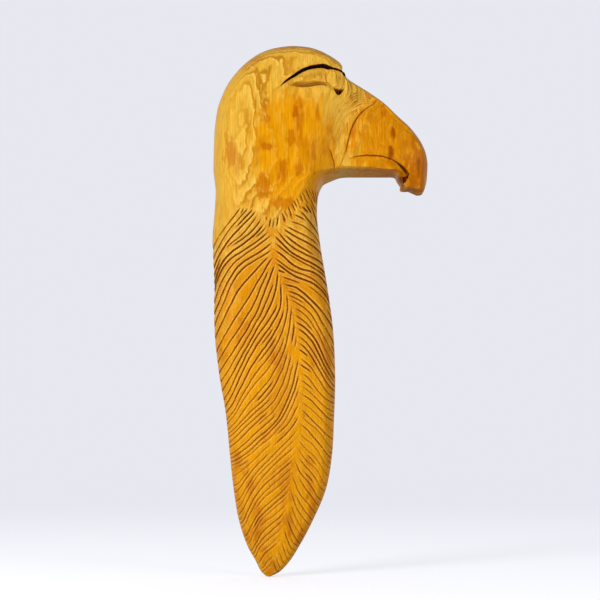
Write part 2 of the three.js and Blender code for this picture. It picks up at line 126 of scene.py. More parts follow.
def spline(given, at):
    """The smooth curve through the points given. Whole numbers of at are the points themselves."""
    given = np.asarray(given, float)
    padded = np.vstack([2 * given[0] - given[1], given, 2 * given[-1] - given[-2]])
    gap = np.linalg.norm(np.diff(padded, axis=0), axis=1) ** 0.5
    i = np.clip(np.floor(at).astype(int), 0, len(given) - 2)
    w = (at - i)[:, None]
    p0, p1, p2, p3 = (padded[i + k] for k in range(4))
    d0, d1, d2 = (gap[i + k][:, None] for k in range(3))
    d1 = np.where(d1 < 1e-4, 1, d1)
    d0, d2 = np.where(d0 < 1e-4, d1, d0), np.where(d2 < 1e-4, d1, d2)
    m1 = ((p1 - p0) / d0 - (p2 - p0) / (d0 + d1) + (p2 - p1) / d1) * d1
    m2 = ((p2 - p1) / d1 - (p3 - p1) / (d1 + d2) + (p3 - p2) / d2) * d1
    return p1 + m1 * w + (3 * (p2 - p1) - 2 * m1 - m2) * w**2 + (2 * (p1 - p2) + m1 + m2) * w**3


def sections_at(u):
    """The sections at places along them, where 0 is the neck's tip and each section is one further."""
    found = np.zeros((len(u), SECTIONS.shape[1]))
    for columns in TRACKS:
        weight = np.array([SPLINE_WEIGHT.get(c, 1) for c in columns])
        found[:, columns] = spline(SECTIONS[:, columns] * weight, u) / weight
    return found


def length_of(path):
    return np.linalg.norm(np.diff(path, axis=0), axis=1).sum()


def section_steps():
    """Where along the sections the rows of the mesh lie, about a millimetre apart on the outline."""
    first, last = FINE["sections"]
    steps = []
    for i in range(len(SECTIONS) - 1):
        ends = sections_at(np.array([i, i + 0.5, i + 1]))
        length = max(length_of(ends[:, pair]) for pair in ([0, 1], [2, 3]))
        finer = 1 + FINE["extra"] * (first <= i < last)
        count = math.ceil(length / ROW_LENGTH * finer)
        steps.extend(i + np.arange(count) / count)
    return np.array(steps + [len(SECTIONS) - 1])


def line_x(line, z):
    """How far to the right a line from top to bottom is at a height."""
    line = sorted(line, key=lambda p: p[1])
    return np.interp(z, [p[1] for p in line], [p[0] for p in line])


def beakward(x, z):
    """0 on the cheek, 1 on the beak, which lies nearer the wall."""
    ridge, base = line_x(CHEEK_RIDGE, z), line_x(BEAK_BASE, z)
    above_jaw = smooth((z - JAW["bottom"]) / JAW["blend"])
    on_hook = smooth((x - JAW["hook_from"]) / JAW["hook_blend"])
    return np.maximum(above_jaw, on_hook) * smooth((x - ridge) / (base - ridge))


def rounded(distance, reach, power):
    """From 0 at an edge to 1 at the reach, as the quarter of a circle rises where the power is 2."""
    return (1 - (1 - np.minimum(1, distance / reach)) ** power) ** (1 / power)


def across(at, distance):
    """The face of the blank, at places along the sections and distances from their back edge: x, z, the
    crown's depth, the edge's depth, and how far the surface has risen from the edge to the crown."""
    s = sections_at(at)
    width = np.hypot(s[:, 2] - s[:, 0], s[:, 3] - s[:, 1])
    squeeze = np.minimum(1, ROUND_ROOM * width / (s[:, 7] + s[:, 8]))
    share = distance / width[:, None]
    x = s[:, :1] + (s[:, 2:3] - s[:, :1]) * share
    z = s[:, 1:2] + (s[:, 3:4] - s[:, 1:2]) * share
    ridge = s[:, 9:10]
    off = np.where(share < ridge, (ridge - share) / ridge, (share - ridge) / (1 - ridge))
    fall = np.where(share < ridge, s[:, 10:11], s[:, 11:12])
    crown = s[:, 4:5] - fall * off**FALL_POWER - BEAK_SETBACK * beakward(x, z)
    edge = s[:, 5:6] + (s[:, 6:7] - s[:, 5:6]) * share
    bevelled = smooth((at - BEVEL["from_section"]) / (BEVEL["to_section"] - BEVEL["from_section"]))
    power = (BEVEL["neck"] + (BEVEL["beak"] - BEVEL["neck"]) * bevelled)[:, None]
    rise = rounded(distance, (s[:, 7] * squeeze)[:, None], power)
    rise = rise * rounded(width[:, None] - distance, (s[:, 8] * squeeze)[:, None], BEVEL["neck"])
    return x, z, crown, edge, rise


def even_distances(at):
    """Distances across the blank that are evenly spaced over the face, and closer together at the eye."""
    back_x, back_z, front_x, front_z = sections_at(at)[:, :4].T
    width = np.hypot(front_x - back_x, front_z - back_z)
    trial = (1 - np.cos(np.linspace(0, 1, COLUMNS["trial"]) * math.pi)) / 2 * width[:, None]
    x, z, crown, edge, rise = across(at, trial)
    step = np.hypot(np.diff(trial, axis=1), np.diff(edge + (crown - edge) * rise, axis=1))
    (cx, cz), (rx, rz) = FINE["centre"], FINE["reach"]
    closer = 1 + FINE["extra"] * np.exp(-(((x - cx) / rx) ** 2) - ((z - cz) / rz) ** 2)
    way = np.cumsum(np.hstack([np.zeros((len(width), 1)), step * closer[:, 1:]]), axis=1)
    even = np.linspace(0, 1, COLUMNS["face"] + 1)
    return np.array([np.interp(even * w[-1], w, t) for w, t in zip(way, trial)])


rows = section_steps()
plan_x, plan_z, crown, edge, rise = across(rows, even_distances(rows))
in_notch = smooth(1 - np.hypot(plan_x - NOTCH["centre"][0], plan_z - NOTCH["centre"][1]) / NOTCH["reach"])
plan_x, plan_z = plan_x + NOTCH["push"][0] * in_notch, plan_z + NOTCH["push"][1] * in_notch

# The face. The eye, brow, beak and mouth are cut into the smooth head with gouges and a knife, each along a
# line drawn on the plank. A deep slit parts the eyeball from the brow that overhangs it, and the beak has a
# groove where the skin ends, a bevel along its top and a lower bill set back under the mouth line.
BROW_SLIT = [(-2, 60), (8, 71), (24, 83), (38, 92.5), (51, 98), (64, 100.5), (74, 101), (83, 98.5), (95, 96),
             (104, 94), (110, 89.5)]
SLIT_HALF = [(0, 0.2), (0.1, 0.9), (0.3, 1.5), (0.5, 1.9), (0.62, 2.3), (0.68, 2.4), (0.75, 1.6), (0.88, 1.4),
             (1, 2.2)]
# The slit is darkened inside with painted shade, nearly black.
SLIT = {"reach": 20, "depth": 15, "undercut": 3.0, "brow_roll": 1.2, "roll_reach": 12, "darkening": 2.0}
SLIT_GROWS = {"depth": 3, "undercut": 4, "darkening": 9}  # how fast, from its left end
EYE_RIDGE = [(4, 67), (15, 71), (26, 74.5), (40, 76.5), (58, 76), (72, 74.5), (82, 72)]
LID = [(2, 65), (9, 67.5), (15, 66), (24, 62.8), (35, 60.6), (47, 61.3), (62, 64.2), (73, 65), (82, 62.6),
       (88, 57.5), (94, 51.5)]
# How deep the eyeball slopes away under the brow and above the lid, the lid's lip, and where the eye is open
EYE = {"under_brow": 6.5, "above_lid": 8.5, "lip": 1.6, "below_lip": 5, "above_lip": 3.4, "full_gap": 26}
EYE_CURVE = {"up": 1.4, "down": 1.2}  # 1 is a straight slope
EYE_ENDS = {"left": 4, "left_soft": 14, "right": 86, "right_soft": 9}
# Painted shade on the eyeball's lower slope, where it turns under: how dark at most
LID_SHADE = {"most": 0.6, "down": 2.5, "off_lid": 1.5}  # and how fast it grows both ways
KNOB = {"centre": (95, 80), "radii": (16, 20), "swell": 3.0}
LOWER_BILL = [(117, 67), (157, 65), (196, 53), (207, 43), (218, 30)]  # the band under the mouth: x, depth
BAND_LEAN = {"from": 150, "to": 200, "by": 14, "reach": 12}  # it leans back, more toward the hook
CREASE = {"depth": 3.4, "reach": 3.4, "lip": 1.6, "lip_reach": 4}
CREASE_ALONG = ([0, 0.4, 0.6, 0.7, 0.8, 1], [0.5, 0.9, 1.1, 0.8, 0, 0])  # how deep it is along the line
# Painted shade in the crease: how dark for each millimetre of its depth, and at most
CREASE_SHADE = {"by_depth": 0.32, "most": 1.6}
MOUTH_GROWS = {"crease": 5, "lip": 6, "edge": 30, "edge_from": 0.02}  # how fast, from its left end
# Where the band lies beside the mouth line, and the share of the line at which the hook's inside starts
BAND = {"reach": 45, "left": 6, "top": 45, "before": 2, "start": 14, "hook_share": 0.72}
SNAP = 0.5  # points this close to the edge of a straight cut are moved onto it
FOOT = ((0.5, 1.35, 3.0), (0.3, 0.5, 3.0))  # points this far below the mouth line are drawn in to this far
MOUTH = [(117, -57), (124, -52), (133, -48.8), (145, -47.3), (162, -47.4), (179, -50), (196, -57), (209, -65),
         (218, -72)]
HOOK_INSIDE = [(221, -77), (219, -85), (209, -94), (205, -103)]
BEAK_GROOVE = [(99, -73), (108, -53), (113.5, -35), (119, -12), (126, 7), (138, 25), (150, 35.5), (158, 41),
               (165, 49)]
BEAK_BULGE = [(124, -44), (130, -20), (138, 2), (152, 22)]
BULGE = {"reach": 13, "swell": 3.6}
PROUD_SKIN = {"reach": 14, "swell": 1.2}
CULMEN = [(163, 51), (178, 39), (193, 20), (212, 1), (232, -15), (243, -30)]
CHEEK_LINE = [(72, 60), (68, 40), (64, 14), (57, -12), (50, -47), (41, -82)]
TEAR = [(81, 97), (78.5, 85), (79, 74), (85, 67), (92, 60.5)]
KNOB_FOLDS = [[(96.5, 89), (97, 80), (97.5, 70)], [(88, 96), (89.5, 86), (89, 76)],
              [(103, 92), (104, 82), (103, 72)]]
CHIP = [(92.5, 62), (95.5, 57), (99, 53.6), (103, 57), (107.5, 62)]
CHIP_FLOOR = [(95.5, 60.6), (100, 58.4), (104.5, 60.6)]
# Fine cuts left by the gouge under the eyeball, and the folds in its skin beside the knob
UNDER_EYE = [[(20, 68.5), (34, 66.5), (50, 66), (66, 68), (76, 67.5)], [(14, 66), (28, 63.6), (42, 62.8)],
             [(52, 69.5), (62, 71), (72, 71.5)], [(58, 64.5), (70, 66.8), (80, 64)]]
EYE_FOLDS = [[(60, 92), (60.5, 84), (60, 77)], [(70, 90), (71, 82), (70, 74)], [(84, 80), (86, 72), (90, 65)]]
KNOB_EDGE = [(108.5, 93), (110.5, 82), (111, 70), (109.5, 62)]
SKIN_FOLD = [(84, -36), (88, -50), (92, -62), (92.5, -74)]
SHORT_FOLD = [(116.5, 12), (115.5, 3), (116, -6)]
# The wrinkled skin over the nostril: a fan of short cuts between a first and a last line
WRINKLE_FAN = ([(115, 43), (122, 54), (134, 60.5), (150, 62)], [(127, 33), (134, 39), (145, 43), (158, 45)])
WRINKLE_COUNT = 6

# Line, width, depth, the share of the depth at its two ends, and how much the cut darkens the face, with
# stain held in it and painted shade; the notch under the knob is painted nearly black as shade
GOUGES = [
    (BEAK_GROOVE, 4.0, 2.4, 0.5, 0.8, 0.55),
    (CULMEN, 3.0, 0.8, 0.6, 0.2, 0.3),
    (CHEEK_LINE, 5.0, 0.7, 0.1, 0.1, 0.1),
    (TEAR, 4.6, 1.9, 0.3, 0.7, 0.45),
    (KNOB_FOLDS[0], 3.8, 1.5, 0.2, 0.5, 0.4),
    (KNOB_FOLDS[1], 3.8, 1.0, 0.2, 0.2, 0.15),
    (KNOB_FOLDS[2], 3.4, 0.8, 0.2, 0.2, 0.15),
    # The notch under the knob: its darkening is painted shade, nearly black
    (CHIP, 5.6, 9.0, 0.35, 0.35, 2.0),
    (CHIP_FLOOR, 6.4, 7.0, 0.5, 0.5, 1.7),
    (KNOB_EDGE, 6.0, 1.6, 0.3, 1.0, 0.2),
    (SKIN_FOLD, 4.0, 2.2, 0.1, 0.7, 0.7),
    (SHORT_FOLD, 2.6, 0.9, 0.1, 0.1, 0.4),
]
# The fine cuts, as above: width, depth, the shares at the ends, and darkening by stain and painted shade
WRINKLE_CUT = (2.9, 1.5, 0.2, 0.2, 0.5)
UNDER_EYE_CUT = (2.6, 1.2, 0.1, 0.2, 0.8)
EYE_FOLD_CUT = (3.4, 1.2, 0.2, 0.2, 0.3)
GOUGE_RUN = (0, 0.25, 0.75, 1)  # a cut has its full depth between the middle two shares of its line
GOUGE_SHAPE = 0.8  # the less, the wider the cut's floor


def drawn(line, steps=40):
    """A smooth line through the points given, as many short straight ones."""
    return spline(line, np.linspace(0, len(line) - 1, steps + 1))


def beside(line, x, z, reach):
    """How far points are from a line, positive on its left, the share of the line that is nearest them, and
    the direction from there to them. Points further away than the reach get that reach."""
    path = drawn(line)
    low, high = path.min(0) - reach, path.max(0) + reach
    near = (x > low[0]) & (x < high[0]) & (z > low[1]) & (z < high[1])
    px, pz = x[near], z[near]
    best, side, share = np.full(px.shape, float(reach)), np.ones(px.shape), np.zeros(px.shape)
    out = np.zeros((2, *px.shape))
    for k, ((ax, az), (bx, bz)) in enumerate(zip(path, path[1:])):
        dx, dz = bx - ax, bz - az
        t = np.clip(((px - ax) * dx + (pz - az) * dz) / (dx * dx + dz * dz), 0, 1)
        to = np.stack([px - ax - t * dx, pz - az - t * dz])
        away = np.hypot(*to)
        closer = away < best
        best[closer] = away[closer]
        side[closer] = np.where(dx * to[1] - dz * to[0] < 0, -1, 1)[closer]
        share[closer] = ((k + t) / (len(path) - 1))[closer]
        out[:, closer] = (to / np.maximum(away, 1e-6))[:, closer]
    distance, along, direction = np.full(x.shape, float(reach)), np.zeros(x.shape), np.zeros((2, *x.shape))
    distance[near], along[near], direction[:, near] = best * side, share, out
    return distance, along, direction


def line_z(line, x):
    """How high a line from left to right is at a place along it."""
    path = drawn(line, 80)
    return np.interp(x, path[:, 0], path[:, 1])


def gouge(line, width, depth, start, end, darkening):
    """How deep a gouge cuts into the face beside a line, and how much it darkens the face there, as staining
    and painted shade.
    """
    distance, along, _ = beside(line, plan_x, plan_z, width)
    bite = np.interp(along, GOUGE_RUN, [start, 1, 1, end])
    bite = bite * smooth(1 - np.abs(distance) / (width / 2)) ** GOUGE_SHAPE
    return depth * bite, darkening * bite


def carve_eye(crown):
    """The eyeball between the brow's slit and the lower lid, with an upper slope and a steeper lower one that
    turns under and is darkened with painted shade."""
    slit, ridge, lid = (line_z(line, plan_x) for line in (BROW_SLIT, EYE_RIDGE, LID))
    opening = smooth((slit - lid) / EYE["full_gap"])
    opening = opening * smooth((plan_x - EYE_ENDS["left"]) / EYE_ENDS["left_soft"])
    opening = opening * smooth((EYE_ENDS["right"] - plan_x) / EYE_ENDS["right_soft"])
    up = np.clip((plan_z - ridge) / (slit - ridge), 0, 1)
    down = np.clip((ridge - plan_z) / np.maximum(ridge - lid, 1), 0, 1)
    off_lid = np.where(plan_z < lid, (lid - plan_z) / EYE["below_lip"], (plan_z - lid) / EYE["above_lip"])
    slope = EYE["under_brow"] * up ** EYE_CURVE["up"]
    slope = slope + EYE["above_lid"] * down ** EYE_CURVE["down"] * smooth(off_lid)
    inside = (plan_z < slit) & (plan_z > lid)
    lip = EYE["lip"] * (1 - np.clip(off_lid, 0, 1)) ** 2
    # painted shade on the lower slope
    darkening = LID_SHADE["most"] * opening * inside
    darkening = darkening * smooth(down * LID_SHADE["down"]) * smooth(off_lid * LID_SHADE["off_lid"])
    return crown + opening * (lip - slope * inside), darkening


def carve_knob(crown):
    """The swelling between the eye and the beak."""
    (cx, cz), (rx, rz) = KNOB["centre"], KNOB["radii"]
    inside = 1 - ((plan_x - cx) / rx) ** 2 - ((plan_z - cz) / rz) ** 2
    return crown + KNOB["swell"] * smooth(inside)


def carve_beak(crown):
    """A swelling behind the groove at the beak's base, and the skin left a little proud in front of it."""
    bulge, _, _ = beside(BEAK_BULGE, plan_x, plan_z, BULGE["reach"])
    swell = BULGE["swell"] * smooth(1 - np.abs(bulge) / BULGE["reach"])
    skin, _, _ = beside(BEAK_GROOVE, plan_x, plan_z, PROUD_SKIN["reach"])
    proud = PROUD_SKIN["swell"] * smooth(1 - np.abs(skin) / PROUD_SKIN["reach"])
    return crown + swell + proud * (skin > 0)


def wrinkle_lines():
    """The cuts of the fan over the nostril, spread evenly from its first line to its last."""
    first, last = (np.array(line, float) for line in WRINKLE_FAN)
    for share in np.linspace(0, 1, WRINKLE_COUNT):
        yield first + (last - first) * share


crown, stained = carve_eye(crown)
crown = carve_knob(carve_beak(crown))
fine_cuts = [(wrinkle_lines(), WRINKLE_CUT), (UNDER_EYE, UNDER_EYE_CUT), (EYE_FOLDS, EYE_FOLD_CUT)]
for cut in [(line, *size) for lines, size in fine_cuts for line in lines] + GOUGES:
    bite, darkening = gouge(*cut)
    crown, stained = crown - bite, np.maximum(stained, darkening)


def cut_slit(crown, x, z):
    """The deep slit that runs up behind the brow, and the brow's roll over it: depth, place, and the painted
    shade that turns the slit nearly black.
    """
    away, along, out = beside(BROW_SLIT, x, z, SLIT["reach"])
    crown = crown + SLIT["brow_roll"] * (away > 0) * smooth(1 - away / SLIT["roll_reach"])
    depth = edge + (crown - edge) * rise
    half = np.interp(along, *zip(*SLIT_HALF))
    onto_edge = np.where(np.abs(np.abs(away) - half) < SNAP, half - np.abs(away), 0)
    inside = np.abs(away) < half - SNAP
    depth = np.where(inside, depth - SLIT["depth"] * smooth(along * SLIT_GROWS["depth"]), depth)
    # painted shade, nearly black, inside the slit and along its edges
    dark = SLIT["darkening"] * smooth(along * SLIT_GROWS["darkening"]) * (np.abs(away) < half + SNAP)
    undercut = SLIT["undercut"] * inside * smooth(along * SLIT_GROWS["undercut"])
    return depth, x + out[0] * onto_edge, z + out[1] * onto_edge + undercut, dark


def cut_mouth(depth, x, z):
    """The band under the mouth line, with a crease under the upper beak that is darkened with painted shade:
    depth, place and that shade.
    """
    away, along, out = beside(MOUTH + HOOK_INSIDE, x, z, BAND["reach"])
    drawn_in = np.where((away < -SNAP) & (away > -FOOT[0][-1]), np.interp(-away, *FOOT) + away, 0)
    onto_edge = np.where(np.abs(away) < SNAP, -np.abs(away), drawn_in)
    onto_edge = onto_edge * smooth((along - MOUTH_GROWS["edge_from"]) * MOUTH_GROWS["edge"])
    away = np.where(np.abs(away) < SNAP, 0, away)
    floor = np.interp(x, *zip(*LOWER_BILL))
    below = (away < 0) & (x > MOUTH[0][0] - BAND["left"]) & (z < MOUTH[-1][1] + BAND["top"])
    crease = CREASE["depth"] * smooth(1 + away / CREASE["reach"]) * smooth(along * MOUTH_GROWS["crease"])
    crease = crease * np.interp(along, *CREASE_ALONG)
    on_mouth = along < BAND["hook_share"]
    lean = BAND_LEAN["by"] * smooth((x - BAND_LEAN["from"]) / (BAND_LEAN["to"] - BAND_LEAN["from"]))
    lean = lean * (1 - smooth(-away / BAND_LEAN["reach"])) * on_mouth
    lower = np.minimum(depth, floor + lean - crease)
    start = smooth((x - MOUTH[0][0] + BAND["before"]) / BAND["start"])
    lip = CREASE["lip"] * (1 - smooth(away / CREASE["lip_reach"])) * (away >= 0)
    lip = lip * smooth(along * MOUTH_GROWS["lip"]) * on_mouth
    depth = np.where(below, depth + (lower - depth) * start, depth - lip)
    # painted shade in the crease, darker where it is cut deeper
    dark = np.minimum(CREASE_SHADE["most"], CREASE_SHADE["by_depth"] * crease)
    dark = dark * start * (below | (away == 0))
    return depth, x + out[0] * onto_edge, z + out[1] * onto_edge, dark


face_depth, plan_x, plan_z, slit_shade = cut_slit(crown, plan_x, plan_z)
face_depth, plan_x, plan_z, mouth_shade = cut_mouth(face_depth, plan_x, plan_z)
# The painted shade of the slit and the crease joins the gouges' darkening
stained = np.maximum(np.maximum(stained, slit_shade), mouth_shade)

# The sides and the back. The sides are sawn square to the flat back and only their front corners are rounded.
# The back is one flat face, where the carving rests against the wall that it hangs on.
BACK_EVERY = 6  # the flat back needs only one column of points for so many of the face
wall_shares = np.linspace(0, 1, COLUMNS["wall"] + 1)[:-1]
back_columns = np.arange(COLUMNS["face"] - BACK_EVERY, 0, -BACK_EVERY)


def side_wall(column):
    """The sawn side at one end of the rows, from the back up to the face."""
    alike = np.ones(len(wall_shares))
    return [plan_x[:, [column]] * alike, plan_z[:, [column]] * alike, face_depth[:, [column]] * wall_shares]


def all_round(face, on_walls, on_back):
    """Values of the face, with one value on both walls and one on the back, in the order of the loops."""
    wall = np.full((len(rows), len(wall_shares)), float(on_walls))
    return np.hstack([wall, face, wall, np.full((len(rows), len(back_columns)), float(on_back))])


left, right = side_wall(0), side_wall(-1)
face = (plan_x, plan_z, face_depth)
back = (plan_x[:, back_columns], plan_z[:, back_columns], np.zeros((len(rows), len(back_columns))))
grid_x, grid_z, grid_depth = (np.hstack([a, f, b[:, ::-1], c]) for a, f, b, c in zip(left, face, right, back))
wall_height = all_round(edge, 1, 1)
wall_height[:, :len(wall_shares)] = edge[:, [0]]
wall_height[:, len(wall_shares) + edge.shape[1]:] = edge[:, [-1]]
on_face = np.clip(grid_depth / wall_height, 0, 1)
stained = all_round(stained, 0, 0)
points = np.stack([(grid_x - HANG_X) * MM, -grid_depth * MM, grid_z * MM], axis=-1)


def closed_shell(points):
    """A closed mesh through loops of points, with the first and last loops filled in."""
    loops, around = points.shape[:2]
    here = np.arange(loops * around).reshape(loops, around)
    onward = np.roll(here, -1, axis=1)
    quads = np.stack([here[:-1], onward[:-1], onward[1:], here[1:]], axis=-1).reshape(-1, 4)
    mesh = bpy.data.meshes.new("carved_blank")
    faces = quads.tolist() + [here[0, ::-1].tolist(), here[-1].tolist()]
    mesh.from_pydata(points.reshape(-1, 3).tolist(), [], faces)
    return mesh


def mark(mesh, name, values):
    mesh.attributes.new(name, "FLOAT", "POINT").data.foreach_set("value", np.ravel(values).astype(np.float32))


blank = bpy.data.objects.new("carved_blank", closed_shell(points))
bpy.context.scene.collection.objects.link(blank)

# The feathers. The neck is covered with long strokes of a V-tool, from a line down its middle out to both
# edges, where they nick the corner. Short cuts fill the gaps, and rows of ticks start them under the cheek.
COLLAR = [(-120, -205), (-97, -177), (-70, -144), (-45, -147), (-11, -166), (5, -152), (26, -131), (44, -112),
          (70, -104)]
COLLAR_STEP = 0.8  # the feathers lie this much below the cheek
COLLAR_BLEND = 9  # and step down to it over this height
SPINE = [(-10, -150), (-11, -200), (-9, -235), (5, -274), (22, -316), (30, -374), (34, -440), (33, -495),
         (26, -560), (16, -622), (1, -695), (-20, -756)]
# How far a stroke falls for each millimetre it runs sideways, from the spine to the edge, by its start height
FALL_BACK = {
    -60: (1.5, 1.5, 1.5, 1.6, 1.5, 1.4),
    -100: (2.5, 2.3, 1.2, 0.9, 1.5, 2.0),
    -175: (1.2, 0.9, 0.7, 0.6, 1.0, 3.6),
    -215: (0.8, 0.7, 0.6, 1.3, 2.4, 2.0),
    -235: (1.6, 1.7, 2.0, 1.6, 1.3, 1.2),
    -260: (4.0, 1.6, 1.3, 2.0, 2.2, 1.0),
    -320: (5.0, 2.4, 1.2, 1.1, 1.4, 0.5),
    -400: (4.6, 2.2, 1.0, 1.1, 1.0, 0.35),
    -470: (2.6, 1.3, 0.9, 1.0, 0.8, 0.4),
    -530: (1.1, 1.1, 1.2, 1.8, 2.4, 0.7),
    -620: (1.4, 1.0, 1.0, 1.9, 2.2, 0.9),
    -720: (1.5, 1.3, 1.3, 1.3, 1.4, 0.8),
}
FALL_FRONT = {
    -60: (0.5, 0.5, 0.8, 1.5, 2.5, 4.0),
    -150: (0.5, 0.45, 0.45, 0.5, 0.9, 1.4),
    -178: (1.4, 1.3, 1.0, 0.8, 0.3, 0.3),
    -205: (1.1, 1.0, 0.7, 0.5, 0.5, 1.0),
    -232: (1.2, 1.0, 0.6, 0.6, 0.9, 1.9),
    -262: (0.4, 0.4, 0.7, 1.2, 1.8, 2.4),
    -309: (0.7, 0.9, 1.6, 3.2, 2.6, 1.2),
    -370: (0.8, 1.2, 2.1, 2.4, 1.2, 0.4),
    -440: (0.7, 1.0, 1.1, 0.9, 0.5, 0.2),
    -510: (1.2, 1.0, 1.0, 1.3, 1.7, 0.8),
    -580: (2.6, 1.7, 1.2, 1.1, 1.1, 0.6),
    -650: (2.8, 2.0, 1.5, 1.2, 1.0, 0.8),
    -720: (1.4, 1.4, 1.3, 1.2, 1.0, 0.8),
}
STROKES = {"top": 26, "pitch": 12, "jitter": 1.6, "steps": 60, "past_edge": 1.17}
LEVEL_OFF = 3  # how late the strokes near the neck's tip stop falling
# How far a stroke swings off its way, from which turn of the wave, and how fast: each between two numbers
SWING = [(0.4, 2.2), (0, 6.3), (3, 9)]
FILLER_SWING = {"far": 1.0, "fast": 5}
SWING_STARTS = 4  # how fast the swing sets in
STROKE_GAPS = (6.0, 4.6, 14)  # a stroke starts and stays this far from the others, and is this long at least
FILLER_GAPS = (5.6, 5.6, 18)
SOFTER = ((-600, -420, -260), (0.65, 0.9, 1.18))  # heights, and how hard the cuts are there
HARDNESS = (0.7, 1.1)
# Ticks along the collar: from, to, pitch, length, lean, rows and the step between them
TICKS_FRONT = (3, 64, 5.0, 20, 0.45, 2, 15)
TICKS_BACK = (-72, -30, 6.4, 15, -0.62, 1, 0)
TICKS_MIDDLE = (-28, 4, 6.4, 26, -0.12, 1, 0)
TICK = {"bite": 0.8, "over_collar": 3, "row_shift": 0.6, "points": 12}
TICK_CHANCE = {"aside": 0.6, "up": 2, "length": (0.8, 1.2), "lean": (0.85, 1.15)}  # how unlike they are
TICK_GAPS = (3.8, 3.0, 7)
# Strokes start a little over the collar, and right of the middle well below it, to leave room for the ticks
CLEAR_OF_TICKS = {"over": 6, "from": -34, "to": -14, "depth": 27}
TIP_Z = SECTIONS[0, 1]
KEPT_DARKNESS = 0.9  # the mesh stays whole at cuts as dark as this

chance = np.random.default_rng(11)
collar_z = np.interp(grid_x, *zip(*COLLAR))
feathered = smooth((collar_z - grid_z) / COLLAR_BLEND + 0.5)
dark_cuts = blank.vertex_groups.new(name="dark cuts")
dark_cuts.add(np.flatnonzero(stained.ravel() > KEPT_DARKNESS).tolist(), 1.0, "REPLACE")
mark(blank.data, "feathered", feathered)
mark(blank.data, "on_face", on_face)
# darkening by stain and painted shade, which the varnish reads
mark(blank.data, "stained", stained)
mark(blank.data, "near_edge", all_round(1 - rise, 1, 1))

NECK_TOP = 15  # the section at which the neck's edges end
neck = sections_at(np.arange(4 * NECK_TOP + 1) / 4)
EDGE_LINES = [list(zip(neck[:, 0], neck[:, 1])), list(zip(neck[:, 2], neck[:, 3]))]


def stroke_path(side, start, swing):
    """A stroke's way over the plank, from the spine at its start height to just past the edge."""
    far, turn, fast = swing
    table = FALL_FRONT if side else FALL_BACK
    heights = sorted(table)
    shares = np.linspace(0, 1, len(table[heights[0]]))
    drop, path = 0.0, []
    for k in range(STROKES["steps"] + 1):
        share = k / STROKES["steps"] * STROKES["past_edge"]
        room = max(1e-6, start - TIP_Z)
        z = start - drop / (1 + (drop / room) ** LEVEL_OFF) ** (1 / LEVEL_OFF)
        spine, side_x = line_x(SPINE, z), line_x(EDGE_LINES[side], z)
        off = far * math.sin(turn + fast * share) * min(1, SWING_STARTS * share)
        path.append((spine + (side_x - spine) * share, z + off))
        fall = np.interp(start, heights, [np.interp(share, shares, table[h]) for h in heights])
        width = abs(line_x(EDGE_LINES[side], start - drop) - line_x(SPINE, start - drop))
        drop += fall * width / STROKES["steps"]
    return np.array(path)


def clear_of(path, others, start_gap, end_gap, shortest):
    """The stretches of a path that keep away from the strokes already drawn."""
    if not others or not len(path):
        return [path] if len(path) > 2 else []
    every = np.vstack(others)
    away = np.array([np.hypot(*(every - p).T).min() for p in path])
    stretches, current = [], []
    for point, distance in zip(path, away):
        if distance > (end_gap if current else start_gap):
            current.append(point)
        elif current:
            stretches.append(np.array(current))
            current = []
    if current:
        stretches.append(np.array(current))
    return [s for s in stretches if len(s) > 2 and length_of(s) > shortest]


def below_collar(path):
    """The part of a stroke that lies on the feathers, below the ticks."""
    clear = CLEAR_OF_TICKS
    deep = clear["depth"] * smooth((path[:, 0] - clear["from"]) / (clear["to"] - clear["from"]))
    return path[path[:, 1] < np.interp(path[:, 0], *zip(*COLLAR)) + clear["over"] - deep]


def side_strokes(side):
    """The strokes on one side of the spine: long ones from the top down, then short ones in the gaps."""
    drawn_so_far = []
    starts = np.arange(STROKES["top"], TIP_Z + STROKES["pitch"], -STROKES["pitch"])
    for start in starts + chance.uniform(-STROKES["jitter"], STROKES["jitter"], len(starts)):
        swing = [chance.uniform(low, high) for low, high in SWING]
        path = below_collar(stroke_path(side, start, swing))
        drawn_so_far += clear_of(path, drawn_so_far, *STROKE_GAPS)
    for start in starts - STROKES["pitch"] / 2:
        swing = (FILLER_SWING["far"], chance.uniform(*SWING[1]), FILLER_SWING["fast"])
        path = below_collar(stroke_path(side, start, swing))
        drawn_so_far += clear_of(path, drawn_so_far, *FILLER_GAPS)
    return drawn_so_far


def tick_rows(start, stop, pitch, length, lean, rows, row_step):
    """Short cuts side by side along the collar, under the cheek."""
    aside, up = TICK_CHANCE["aside"], TICK_CHANCE["up"]
    for row in range(rows):
        for x in np.arange(start, stop, pitch) + row * TICK["row_shift"] * pitch:
            x = x + chance.uniform(-aside, aside)
            top = np.interp(x, *zip(*COLLAR)) + TICK["over_collar"] - row * row_step + chance.uniform(-up, up)
            long = length * chance.uniform(*TICK_CHANCE["length"])
            slant = lean * chance.uniform(*TICK_CHANCE["lean"])
            shares = np.linspace(0, 1, TICK["points"])
            yield np.array([(x + slant * long * share, top - long * share) for share in shares])


def pencil(curve, paths, bite):
    """Draws lines on the plank, each with how hard it is cut."""
    for path in paths:
        line = curve.splines.new("POLY")
        line.points.add(len(path) - 1)
        places = np.zeros((len(path), 4))
        places[:, 0], places[:, 2] = (path[:, 0] - HANG_X) * MM, path[:, 1] * MM
        line.points.foreach_set("co", places.ravel())
        line.points.foreach_set("radius", bite * chance.uniform(*HARDNESS) * np.interp(path[:, 1], *SOFTER))


